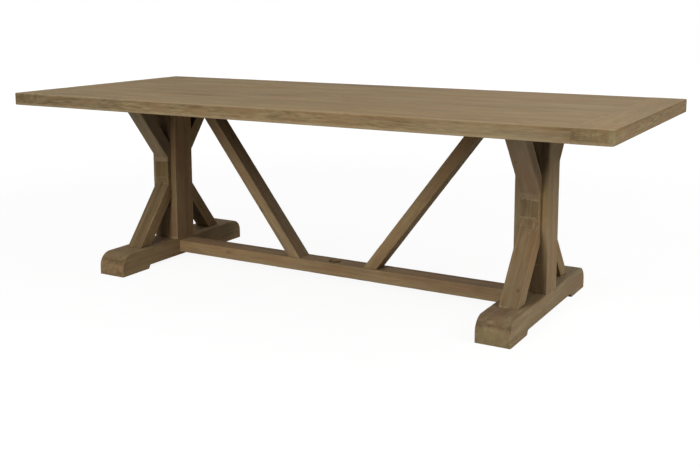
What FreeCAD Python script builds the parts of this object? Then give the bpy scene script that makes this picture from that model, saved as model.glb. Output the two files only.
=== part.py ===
"""Trestle dining table: a breadboard-ended plank top on two braced trestles and a stretcher.

Frame: millimetres, +Z up, origin on the floor under the middle of the top.
+X runs along the top, and -Y is the front long edge.
"""
import FreeCAD, Part
import itertools
import os
import Sketcher

DOC = FreeCAD.newDocument("trestle_dining_table")
SHEET = DOC.addObject("Spreadsheet::Sheet", "sizes")
SHEET_ROWS = itertools.count(1)
PIECES = []


class Size:
    """A length that carries its number and the formula which keeps it true in the document."""

    def __init__(self, formula, value):
        self.formula = formula
        self.value = float(value)

    def joined(self, sign, other, value):
        return Size("(%s %s %s)" % (self.formula, sign, other.formula), value)

    def __add__(self, other):
        other = as_size(other)
        return self.joined("+", other, self.value + other.value)

    def __sub__(self, other):
        other = as_size(other)
        return self.joined("-", other, self.value - other.value)

    def __mul__(self, other):
        other = as_size(other)
        return self.joined("*", other, self.value * other.value)

    def __truediv__(self, other):
        other = as_size(other)
        return self.joined("/", other, self.value / other.value)

    def __radd__(self, other):
        return as_size(other) + self

    def __rsub__(self, other):
        return as_size(other) - self

    def __rmul__(self, other):
        return as_size(other) * self

    def __neg__(self):
        return as_size(0) - self


def as_size(number):
    if isinstance(number, Size):
        return number
    return Size("(%r)" % float(number), number)


def size(alias, value, meaning):
    """Write one driving dimension into the sheet and return it as a Size."""
    row = next(SHEET_ROWS)
    SHEET.set("A%d" % row, meaning)
    SHEET.set("B%d" % row, str(value))
    SHEET.setAlias("B%d" % row, alias)
    return Size("sizes.%s" % alias, value)


# --- driving dimensions -------------------------------------------------------------------

TABLE_HEIGHT = size("table_height", 760, "floor to the table surface")
TOP_LENGTH = size("top_length", 2500, "top, end to end")
TOP_WIDTH = size("top_width", 1040, "top, front to back")
TOP_THICKNESS = size("top_thickness", 50, "plank thickness")
PLANK_COUNT = 8

BREADBOARD_WIDTH = size("breadboard_width", 130, "cross board at each end of the top")
TONGUE_LENGTH = size("tongue_length", 30, "plank tongue inside the cross board")
TONGUE_THICKNESS = size("tongue_thickness", 15, "plank tongue, up and down")
TONGUE_END_GAP = size("tongue_end_gap", 2, "room past the tongue for movement")
TONGUE_SETBACK = size("tongue_setback", 20, "long edge of the top to the hidden groove")
SPLINE_WIDTH = size("spline_width", 24, "loose tongue between planks, across")
SPLINE_THICKNESS = size("spline_thickness", 8, "loose tongue between planks, up and down")
SPLINE_EDGE_GAP = size("spline_edge_gap", 1, "glue room at the bottom of a spline groove")
SPLINE_SETBACK = size("spline_setback", 60, "plank shoulder to the end of its spline")
PIN_RADIUS = size("pin_radius", 5, "pin through a cross board and a tongue")
PIN_COVER = size("pin_cover", 7, "wood left above a pin")
FIT_GAP = size("fit_gap", 0.2, "radial room around a pin, dowel, peg or screw")

POLE_HOLE_RADIUS = size("pole_hole_radius", 28, "hole for a parasol pole")
CAP_RIM = size("cap_rim", 8, "cap that closes the hole in the top, past the edge of the hole")
CAP_THICKNESS = size("cap_thickness", 10, "cap rim, up and down")
CAP_STEM_LENGTH = size("cap_stem_length", 20, "cap stem below its rim")
CAP_PLAY = size("cap_play", 1, "radial room around the cap")
CAP_EDGE = size("cap_edge", 1.5, "bevel around the top of the cap")

LEDGER_THICKNESS = size("ledger_thickness", 20, "bearers, batten and cleats under the top")
BEARER_END_GAP = size("bearer_end_gap", 10, "end of a bearer short of its outer plank seam")
BATTEN_WIDTH = size("batten_width", 120, "middle batten, along the top")
CLEAT_WIDTH = size("cleat_width", 120, "cleat over a long brace, across the top")
CLEAT_MARGIN = size("cleat_margin", 25, "cleat past the head of its long brace")
SCREW_RADIUS = size("screw_radius", 2.5, "screw shank")
SCREW_HEAD_RADIUS = size("screw_head_radius", 5, "countersunk screw head")
SCREW_HEAD_DEPTH = size("screw_head_depth", 3, "countersunk screw head, up and down")
SCREW_LENGTH = size("screw_length", 45, "screw, head to tip")
SCREW_TIP = size("screw_tip", 6, "tapered end of a screw")
SCREW_EDGE = size("screw_edge", 13, "screw to the edge of its bearer or cleat")
SCREW_INSET = size("screw_inset", 25, "first screw to the side of the post")

END_OVERHANG = size("end_overhang", 404, "end of the top to the middle of its trestle")
FOOT_LENGTH = size("foot_length", 822, "foot, front to back")
FOOT_WIDTH = size("foot_width", 128, "foot, along the table")
FOOT_HEIGHT = size("foot_height", 90, "foot, floor to its top face")
FOOT_END_RADIUS = size("foot_end_radius", 56, "rounded upper corner of a foot")
PAD_LENGTH = size("pad_length", 160, "part of a foot that rests on the floor, each end")
PAD_HEIGHT = size("pad_height", 16, "hollow under a foot between its pads")
PAD_SLOPE = size("pad_slope", 10, "slanted inner end of a pad")

POST_DEPTH = size("post_depth", 114, "post, front to back")
TENON_THICKNESS = size("tenon_thickness", 40, "post tenon, along the table")
TENON_WIDTH = size("tenon_width", 80, "post tenon, front to back")
MORTISE_FLOOR = size("mortise_floor", 12, "wood left under the post's mortise")
MORTISE_GAP = size("mortise_gap", 2, "room past the end of a tenon")

BRACE_THICKNESS = size("brace_thickness", 73, "trestle brace, along the table")
LOWER_REACH = size("lower_reach", 270, "centre line to the outer edge of a lower brace on its foot")
UPPER_REACH = size("upper_reach", 258, "centre line to the outer edge of an upper brace at its bearer")
BRACE_SEAT = size("brace_seat", 69, "level cut at the outer end of a trestle brace")
WAIST_THICKNESS = size("waist_thickness", 20, "blunt inner end of a brace, front to back")
WAIST_HEIGHT = size("waist_height", 69, "block between the lower and the upper brace")
WAIST_RISE = size("waist_rise", 12.5, "waist block above the middle of the post")
LOWER_SHOULDER = size("lower_shoulder", 31, "upright face at the inner end of a lower brace")
UPPER_SHOULDER = size("upper_shoulder", 19.5, "upright face at the inner end of an upper brace")

STRETCHER_WIDTH = size("stretcher_width", 86, "stretcher, front to back")
STRETCHER_HEIGHT = size("stretcher_height", 52, "stretcher, up and down")
STRETCHER_BOTTOM = size("stretcher_bottom", 29, "floor to the underside of the stretcher")
STUB_WIDTH = size("stub_width", 56, "stub tenon of the stretcher, front to back")
STUB_HEIGHT = size("stub_height", 32, "stub tenon of the stretcher, up and down")
STUB_WALL = size("stub_wall", 4, "wood between the stub tenon and the post tenon")

LONG_BRACE_WIDTH = size("long_brace_width", 75, "long brace, front to back")
LONG_BRACE_FOOT = size("long_brace_foot", 208, "middle of the table to the outer foot of a long brace")
LONG_BRACE_SEAT = size("long_brace_seat", 59, "level cut at both ends of a long brace")
LONG_BRACE_HEAD_GAP = size("long_brace_head_gap", 174, "middle of the trestle to a long brace head")

DOWEL_RADIUS = size("dowel_radius", 6, "dowel in a brace joint")
DOWEL_SPACING = size("dowel_spacing", 36, "between the two dowels of a joint")
DOWEL_DEPTH = size("dowel_depth", 28, "dowel into each timber")
LEDGER_DOWEL_COVER = size("ledger_dowel_cover", 4, "wood left past a dowel in a bearer or cleat")
WAIST_DOWEL_COVER = size("waist_dowel_cover", 6, "wood left past the dowel in a waist block")
PEG_RADIUS = size("peg_radius", 5, "peg through a stub tenon")
PEG_COVER = size("peg_cover", 14, "wood left above a peg")
PEG_SPACING = size("peg_spacing", 28, "between the two pegs of a stub tenon")

# --- levels and positions worked out from them --------------------------------------------

UNDERSIDE = TABLE_HEIGHT - TOP_THICKNESS
LEDGER_BOTTOM = UNDERSIDE - LEDGER_THICKNESS
TOP_MIDDLE = TABLE_HEIGHT - TOP_THICKNESS / 2
PLANK_WIDTH = TOP_WIDTH / PLANK_COUNT
SHOULDER_X = TOP_LENGTH / 2 - BREADBOARD_WIDTH
TRESTLE_X = TOP_LENGTH / 2 - END_OVERHANG
BEARER_HALF = PLANK_WIDTH * (PLANK_COUNT / 2 - 1) - BEARER_END_GAP
PIN_LENGTH = TOP_THICKNESS - PIN_COVER
CAP_RADIUS = POLE_HOLE_RADIUS + CAP_RIM

WAIST_MIDDLE = (FOOT_HEIGHT + LEDGER_BOTTOM) / 2 + WAIST_RISE
WAIST_LOW = WAIST_MIDDLE - WAIST_HEIGHT / 2
WAIST_HIGH = WAIST_MIDDLE + WAIST_HEIGHT / 2
POST_FACE = POST_DEPTH / 2
WAIST_FACE = POST_FACE + WAIST_THICKNESS
TENON_DEPTH = FOOT_HEIGHT - PAD_HEIGHT - MORTISE_FLOOR - MORTISE_GAP

STRETCHER_TOP = STRETCHER_BOTTOM + STRETCHER_HEIGHT
STRETCHER_MIDDLE = STRETCHER_BOTTOM + STRETCHER_HEIGHT / 2
FOOT_INNER_X = TRESTLE_X - FOOT_WIDTH / 2
STUB_LENGTH = FOOT_WIDTH / 2 - TENON_THICKNESS / 2 - STUB_WALL
PEG_X = FOOT_INNER_X + STUB_LENGTH / 2
LONG_BRACE_HEAD = TRESTLE_X - LONG_BRACE_HEAD_GAP

HOLE_RADIUS = DOWEL_RADIUS + FIT_GAP
LEDGER_DOWEL_DEPTH = LEDGER_THICKNESS - LEDGER_DOWEL_COVER
WAIST_DOWEL_DEPTH = WAIST_THICKNESS - WAIST_DOWEL_COVER
PEG_LENGTH = FOOT_HEIGHT - PAD_HEIGHT - PEG_COVER
HALF_TURN = 180
SIDES = {"left": -1, "right": 1}
ENDS = {"front": -1, "back": 1}


# --- helpers: bound features --------------------------------------------------------------

def bind(thing, name, length):
    """Bind one property to a Size or a plain number."""
    thing.setExpression(name, as_size(length).formula)


def place(thing, x=0, y=0, z=0, turn=0, tilt=0):
    """Turn a feature about Z, or tilt it about X, and bind where its origin stands."""
    about_z = FreeCAD.Rotation(FreeCAD.Vector(0, 0, 1), turn)
    about_x = FreeCAD.Rotation(FreeCAD.Vector(1, 0, 0), tilt)
    thing.Placement = FreeCAD.Placement(FreeCAD.Vector(0, 0, 0), about_z.multiply(about_x))
    for axis, length in (("x", x), ("y", y), ("z", z)):
        bind(thing, "Placement.Base.%s" % axis, length)


def keep(label, thing):
    """Give a finished piece its node name and add it to the assembly."""
    thing.Label = label
    if thing.Label != label:
        raise RuntimeError("another object is already named %s" % label)
    PIECES.append(thing)
    return thing


def block(name, x_range, y_range, z_range):
    """A square-cornered length of timber between three pairs of limits."""
    box = DOC.addObject("Part::Box", name)
    for side, limits in (("Length", x_range), ("Width", y_range), ("Height", z_range)):
        bind(box, side, limits[1] - limits[0])
    place(box, x_range[0], y_range[0], z_range[0])
    return box


def rod(name, radius, length, x, y, z, tilt=0):
    """A cylinder that stands on (x, y, z), upright unless it is tilted."""
    cylinder = DOC.addObject("Part::Cylinder", name)
    bind(cylinder, "Radius", radius)
    bind(cylinder, "Height", length)
    place(cylinder, x, y, z, tilt=tilt)
    return cylinder


def taper(name, low_radius, high_radius, length, x, y, z):
    cone = DOC.addObject("Part::Cone", name)
    bind(cone, "Radius1", low_radius)
    bind(cone, "Radius2", high_radius)
    bind(cone, "Height", length)
    place(cone, x, y, z)
    return cone


def fused(name, parts):
    union = DOC.addObject("Part::MultiFuse", name)
    union.Shapes = parts
    return union


def cut_away(name, base, tools):
    difference = DOC.addObject("Part::Cut", name)
    difference.Base = base
    difference.Tool = tools[0] if len(tools) == 1 else fused(name + "_tools", tools)
    return difference


def group(label, parts):
    """Separate solids of one kind that share a node."""
    compound = DOC.addObject("Part::Compound", label + "_group")
    compound.Links = parts
    return keep(label, compound)


def new_body(label):
    return DOC.addObject("PartDesign::Body", label)


def new_sketch(body, name, plane, offset=0):
    """A sketch on one of the body's own planes, moved along that plane's normal."""
    sketch = body.newObject("Sketcher::SketchObject", name)
    faces = [face for face in body.Origin.OriginFeatures if face.Role == plane]
    sketch.AttachmentSupport = [(faces[0], "")]
    sketch.MapMode = "FlatFace"
    bind(sketch, "AttachmentOffset.Base.z", offset)
    return sketch


def pin_point(sketch, geometry, point, corner):
    """Fix one point of a sketch by its two bound distances from the origin."""
    for kind, length in zip(("DistanceX", "DistanceY"), corner):
        length = as_size(length)
        made = sketch.addConstraint(Sketcher.Constraint(kind, -1, 1, geometry, point, length.value))
        sketch.setExpression("Constraints[%d]" % made, length.formula)


def draw_outline(sketch, corners):
    """A closed outline of straight edges through bound corners."""
    first = sketch.GeometryCount
    vectors = [FreeCAD.Vector(as_size(x).value, as_size(y).value, 0) for x, y in corners]
    followers = vectors[1:] + vectors[:1]
    for start, end in zip(vectors, followers):
        sketch.addGeometry(Part.LineSegment(start, end), False)
    for index, corner in enumerate(corners):
        following = first + (index + 1) % len(corners)
        sketch.addConstraint(Sketcher.Constraint("Coincident", first + index, 2, following, 1))
        pin_point(sketch, first + index, 1, corner)


def draw_rectangle(sketch, half_width, low, high):
    """A rectangle centred across, between two levels."""
    corners = [(-half_width, low), (half_width, low), (half_width, high), (-half_width, high)]
    draw_outline(sketch, corners)


def draw_circles(sketch, radius, centres):
    for x, y in centres:
        centre = FreeCAD.Vector(as_size(x).value, as_size(y).value, 0)
        circle = Part.Circle(centre, FreeCAD.Vector(0, 0, 1), as_size(radius).value)
        index = sketch.addGeometry(circle, False)
        made = sketch.addConstraint(Sketcher.Constraint("Radius", index, as_size(radius).value))
        bind(sketch, "Constraints[%d]" % made, radius)
        pin_point(sketch, index, 3, (x, y))


def pad(body, sketch, length, symmetric=False):
    feature = body.newObject("PartDesign::Pad", sketch.Name + "_pad")
    feature.Profile = sketch
    bind(feature, "Length", length)
    feature.SideType = "Symmetric" if symmetric else "One side"
    return feature


def pocket(body, sketch, depth, along_normal=False):
    """Cut a sketch into the body, against the plane's normal unless told otherwise."""
    feature = body.newObject("PartDesign::Pocket", sketch.Name + "_pocket")
    feature.Profile = sketch
    bind(feature, "Length", depth)
    feature.Reversed = along_normal
    return feature


def drill(body, name, plane, offset, radius, centres, depth, along_normal=False):
    sketch = new_sketch(body, name, plane, offset)
    draw_circles(sketch, radius, centres)
    return pocket(body, sketch, depth, along_normal)


def pair(middle, spacing=DOWEL_SPACING):
    """The two places of a joint's dowels, either side of a middle line."""
    return [(-spacing / 2, middle), (spacing / 2, middle)]


# --- top ----------------------------------------------------------------------------------

def seam_y(seam):
    """Seam 0 is the front edge of the top and seam PLANK_COUNT its back edge."""
    return PLANK_WIDTH * (seam - PLANK_COUNT / 2)


def spline_runs(seam):
    """Where the splines of one seam lie along X: two short of the hole, or one right through."""
    end = SHOULDER_X - SPLINE_SETBACK
    if seam == PLANK_COUNT // 2:
        start = CAP_RADIUS + SPLINE_SETBACK
        return [(-end, -start), (start, end)]
    return [(-end, end)]


def spline(name, seam, run, reach, thickness):
    """A loose tongue, or the grooves cut for it, centred on a seam."""
    middle = seam_y(seam)
    levels = (TOP_MIDDLE - thickness / 2, TOP_MIDDLE + thickness / 2)
    return block(name, run, (middle - reach, middle + reach), levels)


def screw_row_y(number):
    """How far from the centre line a plank's screws sit: clear of the post and the braces."""
    rows_out = max(PLANK_COUNT // 2 - number, number - PLANK_COUNT // 2 - 1)
    rows = [
        POST_FACE + SCREW_INSET,
        (PLANK_WIDTH + UPPER_REACH - BRACE_SEAT) / 2,
        (UPPER_REACH + BEARER_HALF) / 2,
    ]
    return rows[rows_out] if number > PLANK_COUNT // 2 else -rows[rows_out]


def bearer_screw_places(side, numbers):
    reach = FOOT_WIDTH / 2 - SCREW_EDGE
    middle = side * TRESTLE_X
    return [(middle + step * reach, screw_row_y(number)) for number in numbers for step in (-1, 1)]


def batten_screw_places(numbers):
    reach = BATTEN_WIDTH / 2 - SCREW_EDGE
    return [(step * reach, screw_row_y(number)) for number in numbers for step in (-1, 1)]


def cleat_screw_places(side, ends):
    inner = LONG_BRACE_HEAD - LONG_BRACE_SEAT - CLEAT_MARGIN + SCREW_EDGE
    outer = LONG_BRACE_HEAD + CLEAT_MARGIN - SCREW_EDGE
    reach = CLEAT_WIDTH / 2 - SCREW_EDGE
    return [(side * x, end * reach) for x in (inner, outer) for end in ends]


def plank_screw_places(number):
    """Every screw that enters one plank from below."""
    if number in (1, PLANK_COUNT):
        return []
    places = batten_screw_places([number])
    for side in SIDES.values():
        places += bearer_screw_places(side, [number])
    if number == PLANK_COUNT // 2:
        places += cleat_screw_places(-1, [-1]) + cleat_screw_places(1, [-1])
    if number == PLANK_COUNT // 2 + 1:
        places += cleat_screw_places(-1, [1]) + cleat_screw_places(1, [1])
    return places


def pin_places(side, numbers):
    middle = side * (SHOULDER_X + TONGUE_LENGTH / 2)
    return [(middle, seam_y(number) - PLANK_WIDTH / 2) for number in numbers]


def pole_hole_tools(name):
    """The pole hole right through the top, and the wider seat for the cap's rim."""
    seat_level = TABLE_HEIGHT - CAP_THICKNESS
    return [
        rod(name + "_hole", POLE_HOLE_RADIUS, TOP_THICKNESS, 0, 0, UNDERSIDE),
        rod(name + "_seat", CAP_RADIUS + CAP_PLAY, CAP_THICKNESS, 0, 0, seat_level),
    ]


def make_plank(number):
    """One lengthwise plank with a tongue at each end, grooves, and holes from below."""
    name = "plank_%d" % number
    low, high = seam_y(number - 1), seam_y(number)
    tongue_low = low + TONGUE_SETBACK + TONGUE_END_GAP if number == 1 else low
    tongue_high = high - TONGUE_SETBACK - TONGUE_END_GAP if number == PLANK_COUNT else high
    board = block(name + "_board", (-SHOULDER_X, SHOULDER_X), (low, high), (UNDERSIDE, TABLE_HEIGHT))
    reach = SHOULDER_X + TONGUE_LENGTH
    levels = (TOP_MIDDLE - TONGUE_THICKNESS / 2, TOP_MIDDLE + TONGUE_THICKNESS / 2)
    tongues = block(name + "_tongues", (-reach, reach), (tongue_low, tongue_high), levels)
    tools = []
    for seam in (number - 1, number):
        if seam in (0, PLANK_COUNT):
            continue
        for run in spline_runs(seam):
            groove = "%s_groove_%d" % (name, len(tools))
            tools.append(spline(groove, seam, run, SPLINE_WIDTH / 2 + SPLINE_EDGE_GAP, SPLINE_THICKNESS))
    for side in SIDES.values():
        for x, y in pin_places(side, [number]):
            tools.append(rod(name + "_pin_hole", PIN_RADIUS + FIT_GAP, TOP_THICKNESS, x, y, UNDERSIDE))
    pilot_depth = SCREW_LENGTH - LEDGER_THICKNESS
    for x, y in plank_screw_places(number):
        tools.append(rod(name + "_pilot", SCREW_RADIUS + FIT_GAP, pilot_depth, x, y, UNDERSIDE))
    if number in (PLANK_COUNT // 2, PLANK_COUNT // 2 + 1):
        tools += pole_hole_tools(name)
    keep(name, cut_away(name + "_cut", fused(name + "_blank", [board, tongues]), tools))


def make_breadboard(side_name, turn):
    """A cross board: grooved for the tongues and bored from below for their pins."""
    body = new_body("breadboard_end_" + side_name)
    outline = new_sketch(body, "board_" + side_name, "XY_Plane", UNDERSIDE)
    half = TOP_WIDTH / 2
    end = TOP_LENGTH / 2
    draw_outline(outline, [(SHOULDER_X, -half), (end, -half), (end, half), (SHOULDER_X, half)])
    pad(body, outline, TOP_THICKNESS)
    groove = new_sketch(body, "groove_" + side_name, "YZ_Plane", SHOULDER_X)
    levels = (TOP_MIDDLE - TONGUE_THICKNESS / 2, TOP_MIDDLE + TONGUE_THICKNESS / 2)
    draw_rectangle(groove, half - TONGUE_SETBACK, *levels)
    pocket(body, groove, TONGUE_LENGTH + TONGUE_END_GAP, along_normal=True)
    places = pin_places(1, range(1, PLANK_COUNT + 1))
    drill(body, "pins_" + side_name, "XY_Plane", UNDERSIDE, PIN_RADIUS + FIT_GAP, places, PIN_LENGTH,
          along_normal=True)
    place(body, turn=turn)
    keep("breadboard_end_" + side_name, body)


def make_parasol_cap():
    """A turned plug: a bevelled rim flush with the top, and a stem that drops in the pole hole."""
    body = new_body("parasol_cap")
    sketch = new_sketch(body, "cap_profile", "XZ_Plane")
    rim_bottom = TABLE_HEIGHT - CAP_THICKNESS
    stem_radius = POLE_HOLE_RADIUS - CAP_PLAY
    draw_outline(sketch, [
        (0, rim_bottom - CAP_STEM_LENGTH),
        (stem_radius, rim_bottom - CAP_STEM_LENGTH),
        (stem_radius, rim_bottom),
        (CAP_RADIUS, rim_bottom),
        (CAP_RADIUS, TABLE_HEIGHT - CAP_EDGE),
        (CAP_RADIUS - CAP_EDGE, TABLE_HEIGHT),
        (0, TABLE_HEIGHT),
    ])
    turned = body.newObject("PartDesign::Revolution", "cap_turning")
    turned.Profile = sketch
    turned.ReferenceAxis = (sketch, ["V_Axis"])
    turned.Angle = 360
    keep("parasol_cap", body)


def make_top():
    for number in range(1, PLANK_COUNT + 1):
        make_plank(number)
    make_breadboard("right", 0)
    make_breadboard("left", HALF_TURN)
    splines = []
    for seam in range(1, PLANK_COUNT):
        for run in spline_runs(seam):
            splines.append(spline("spline_%d" % seam, seam, run, SPLINE_WIDTH / 2, SPLINE_THICKNESS))
    group("plank_splines", splines)
    pins = []
    for side in SIDES.values():
        for x, y in pin_places(side, range(1, PLANK_COUNT + 1)):
            pins.append(rod("breadboard_pin", PIN_RADIUS, PIN_LENGTH, x, y, UNDERSIDE))
    group("breadboard_pins", pins)
    make_parasol_cap()


# --- bearers, batten and cleats under the top -----------------------------------------------

def make_screw(name, x, y):
    """A countersunk screw, driven up through a bearer, batten or cleat into the top."""
    shank_length = SCREW_LENGTH - SCREW_HEAD_DEPTH - SCREW_TIP
    shank_start = LEDGER_BOTTOM + SCREW_HEAD_DEPTH
    head = taper(name + "_head", SCREW_HEAD_RADIUS, SCREW_RADIUS, SCREW_HEAD_DEPTH, x, y, LEDGER_BOTTOM)
    shank = rod(name + "_shank", SCREW_RADIUS, shank_length, x, y, shank_start)
    tip = taper(name + "_tip", SCREW_RADIUS, SCREW_RADIUS / 5, SCREW_TIP, x, y, shank_start + shank_length)
    return fused(name, [head, shank, tip])


def screw_hole_tools(name, places):
    radius = SCREW_RADIUS + FIT_GAP
    head_radius = SCREW_HEAD_RADIUS + FIT_GAP
    tools = []
    for x, y in places:
        tools.append(rod(name + "_hole", radius, LEDGER_THICKNESS, x, y, LEDGER_BOTTOM))
        tools.append(taper(name + "_sink", head_radius, radius, SCREW_HEAD_DEPTH, x, y, LEDGER_BOTTOM))
    return tools


def make_ledger(label, x_range, y_half, screw_places, tools):
    """A flat length of timber screwed up to the top, with whatever else is cut out of it."""
    blank = block(label + "_blank", x_range, (-y_half, y_half), (LEDGER_BOTTOM, UNDERSIDE))
    tools = tools + screw_hole_tools(label, screw_places)
    keep(label, cut_away(label + "_cut", blank, tools))
    screws = [make_screw(label + "_screw", x, y) for x, y in screw_places]
    group(label + "_screws", screws)


def ledger_dowel_holes(name, places):
    return [rod(name + "_dowel_hole", HOLE_RADIUS, LEDGER_DOWEL_DEPTH, x, y, LEDGER_BOTTOM)
            for x, y in places]


def make_ledgers():
    inner_numbers = range(2, PLANK_COUNT)
    for side_name, side in SIDES.items():
        middle = side * TRESTLE_X
        mortise_x = (middle - TENON_THICKNESS / 2, middle + TENON_THICKNESS / 2)
        mortise_y = (-TENON_WIDTH / 2, TENON_WIDTH / 2)
        label = "bearer_" + side_name
        mortise = block(label + "_mortise", mortise_x, mortise_y, (LEDGER_BOTTOM, UNDERSIDE))
        tools = [mortise] + ledger_dowel_holes(label, head_dowel_places(side))
        x_range = (middle - FOOT_WIDTH / 2, middle + FOOT_WIDTH / 2)
        make_ledger(label, x_range, BEARER_HALF, bearer_screw_places(side, inner_numbers), tools)

        label = "brace_cleat_" + side_name
        inner = side * (LONG_BRACE_HEAD - LONG_BRACE_SEAT - CLEAT_MARGIN)
        outer = side * (LONG_BRACE_HEAD + CLEAT_MARGIN)
        x_range = (inner, outer) if side > 0 else (outer, inner)
        tools = ledger_dowel_holes(label, long_brace_dowel_places(side, long_brace_head_middle()))
        make_ledger(label, x_range, CLEAT_WIDTH / 2, cleat_screw_places(side, ENDS.values()), tools)

    pole_hole = rod("batten_pole_hole", POLE_HOLE_RADIUS, LEDGER_THICKNESS, 0, 0, LEDGER_BOTTOM)
    x_range = (-BATTEN_WIDTH / 2, BATTEN_WIDTH / 2)
    make_ledger("middle_batten", x_range, BEARER_HALF, batten_screw_places(inner_numbers), [pole_hole])


# --- trestles -------------------------------------------------------------------------------

LOWER_SLOPE = (WAIST_LOW - LOWER_SHOULDER - FOOT_HEIGHT) / (LOWER_REACH - WAIST_FACE)
UPPER_SLOPE = (LEDGER_BOTTOM - UPPER_SHOULDER - WAIST_HIGH) / (UPPER_REACH - WAIST_FACE)
LOWER_CROTCH = FOOT_HEIGHT + LOWER_SLOPE * (LOWER_REACH - BRACE_SEAT - POST_FACE)
UPPER_CROTCH = LEDGER_BOTTOM - UPPER_SLOPE * (UPPER_REACH - BRACE_SEAT - POST_FACE)
# Each dowel row stays where the slanted brace holds it over its whole depth.
LOWER_DOWEL_Y = LOWER_REACH - (BRACE_SEAT + DOWEL_DEPTH / LOWER_SLOPE) / 2
UPPER_DOWEL_Y = UPPER_REACH - (BRACE_SEAT + DOWEL_DEPTH / UPPER_SLOPE) / 2
POST_DOWEL_LEVELS = (LOWER_CROTCH + DOWEL_DEPTH, UPPER_CROTCH - DOWEL_DEPTH)


def head_dowel_places(side):
    """Dowels from a bearer down into the heads of its two upper braces."""
    places = []
    for end in ENDS.values():
        places += [(side * TRESTLE_X + x, end * UPPER_DOWEL_Y) for x, _ in pair(0)]
    return places


def foot_dowel_places(side):
    places = []
    for end in ENDS.values():
        places += [(side * TRESTLE_X + x, end * LOWER_DOWEL_Y) for x, _ in pair(0)]
    return places


def make_foot(side_name, turn):
    """A foot on two pads, mortised for the post and, on its inner side, for the stretcher."""
    body = new_body("foot_" + side_name)
    half = FOOT_LENGTH / 2
    pad_end = half - PAD_LENGTH
    side_view = new_sketch(body, "foot_outline_" + side_name, "YZ_Plane")
    draw_outline(side_view, [
        (-half, 0),
        (-pad_end, 0),
        (PAD_SLOPE - pad_end, PAD_HEIGHT),
        (pad_end - PAD_SLOPE, PAD_HEIGHT),
        (pad_end, 0),
        (half, 0),
        (half, FOOT_HEIGHT),
        (-half, FOOT_HEIGHT),
    ])
    blank = pad(body, side_view, FOOT_WIDTH, symmetric=True)
    DOC.recompute()
    rounding = body.newObject("PartDesign::Fillet", "foot_rounding_" + side_name)
    rounding.Base = (blank, end_corner_edges(blank.Shape))
    bind(rounding, "Radius", FOOT_END_RADIUS)

    mortise = new_sketch(body, "post_mortise_" + side_name, "XY_Plane", FOOT_HEIGHT)
    draw_rectangle(mortise, TENON_THICKNESS / 2, -TENON_WIDTH / 2, TENON_WIDTH / 2)
    pocket(body, mortise, TENON_DEPTH + MORTISE_GAP)

    stub_mortise = new_sketch(body, "stub_mortise_" + side_name, "YZ_Plane", FOOT_WIDTH / 2)
    levels = (STRETCHER_MIDDLE - STUB_HEIGHT / 2, STRETCHER_MIDDLE + STUB_HEIGHT / 2)
    draw_rectangle(stub_mortise, STUB_WIDTH / 2, *levels)
    pocket(body, stub_mortise, STUB_LENGTH)

    dowel_rows = pair(-LOWER_DOWEL_Y) + pair(LOWER_DOWEL_Y)
    drill(body, "brace_dowels_" + side_name, "XY_Plane", FOOT_HEIGHT, HOLE_RADIUS, dowel_rows, DOWEL_DEPTH)
    peg_x = FOOT_WIDTH / 2 - STUB_LENGTH / 2
    pegs = [(peg_x, -PEG_SPACING / 2), (peg_x, PEG_SPACING / 2)]
    drill(body, "stub_pegs_" + side_name, "XY_Plane", PAD_HEIGHT, PEG_RADIUS + FIT_GAP, pegs, PEG_LENGTH,
          along_normal=True)
    place(body, SIDES[side_name] * TRESTLE_X, turn=turn)
    keep("foot_" + side_name, body)


def end_corner_edges(shape):
    """The two upper edges that run across a foot at its ends."""
    box = shape.BoundBox
    names = []
    for index, edge in enumerate(shape.Edges, 1):
        middle = edge.BoundBox.Center
        at_end = abs(abs(middle.y) - box.YMax) < 1
        at_top = abs(middle.z - box.ZMax) < 1
        if at_end and at_top and edge.BoundBox.XLength > 1:
            names.append("Edge%d" % index)
    return names


def make_post(side_name):
    """A post with a tenon in its foot, another through its bearer, and dowel holes for braces."""
    body = new_body("post_" + side_name)
    shaft = new_sketch(body, "shaft_" + side_name, "XY_Plane", FOOT_HEIGHT)
    draw_rectangle(shaft, FOOT_WIDTH / 2, -POST_FACE, POST_FACE)
    pad(body, shaft, LEDGER_BOTTOM - FOOT_HEIGHT)
    tenons = new_sketch(body, "tenons_" + side_name, "XY_Plane", FOOT_HEIGHT - TENON_DEPTH)
    draw_rectangle(tenons, TENON_THICKNESS / 2, -TENON_WIDTH / 2, TENON_WIDTH / 2)
    pad(body, tenons, UNDERSIDE - FOOT_HEIGHT + TENON_DEPTH)
    holes = [(0, WAIST_MIDDLE)]
    for level in POST_DOWEL_LEVELS:
        holes += pair(level)
    # The plane's normal points to the front, so the back holes are cut along it.
    for end_name, offset, along in (("front", POST_FACE, False), ("back", -POST_FACE, True)):
        name = "dowels_%s_%s" % (end_name, side_name)
        drill(body, name, "XZ_Plane", offset, HOLE_RADIUS, holes, DOWEL_DEPTH, along)
    place(body, SIDES[side_name] * TRESTLE_X)
    keep("post_" + side_name, body)


def brace_outline(reach, seat_level, crotch_level, blunt_level, elbow_level):
    """The side view of a front brace, from its level end to its blunt end on the post."""
    return [
        (-reach, seat_level),
        (BRACE_SEAT - reach, seat_level),
        (-POST_FACE, crotch_level),
        (-POST_FACE, blunt_level),
        (-WAIST_FACE, blunt_level),
        (-WAIST_FACE, elbow_level),
    ]


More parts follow.
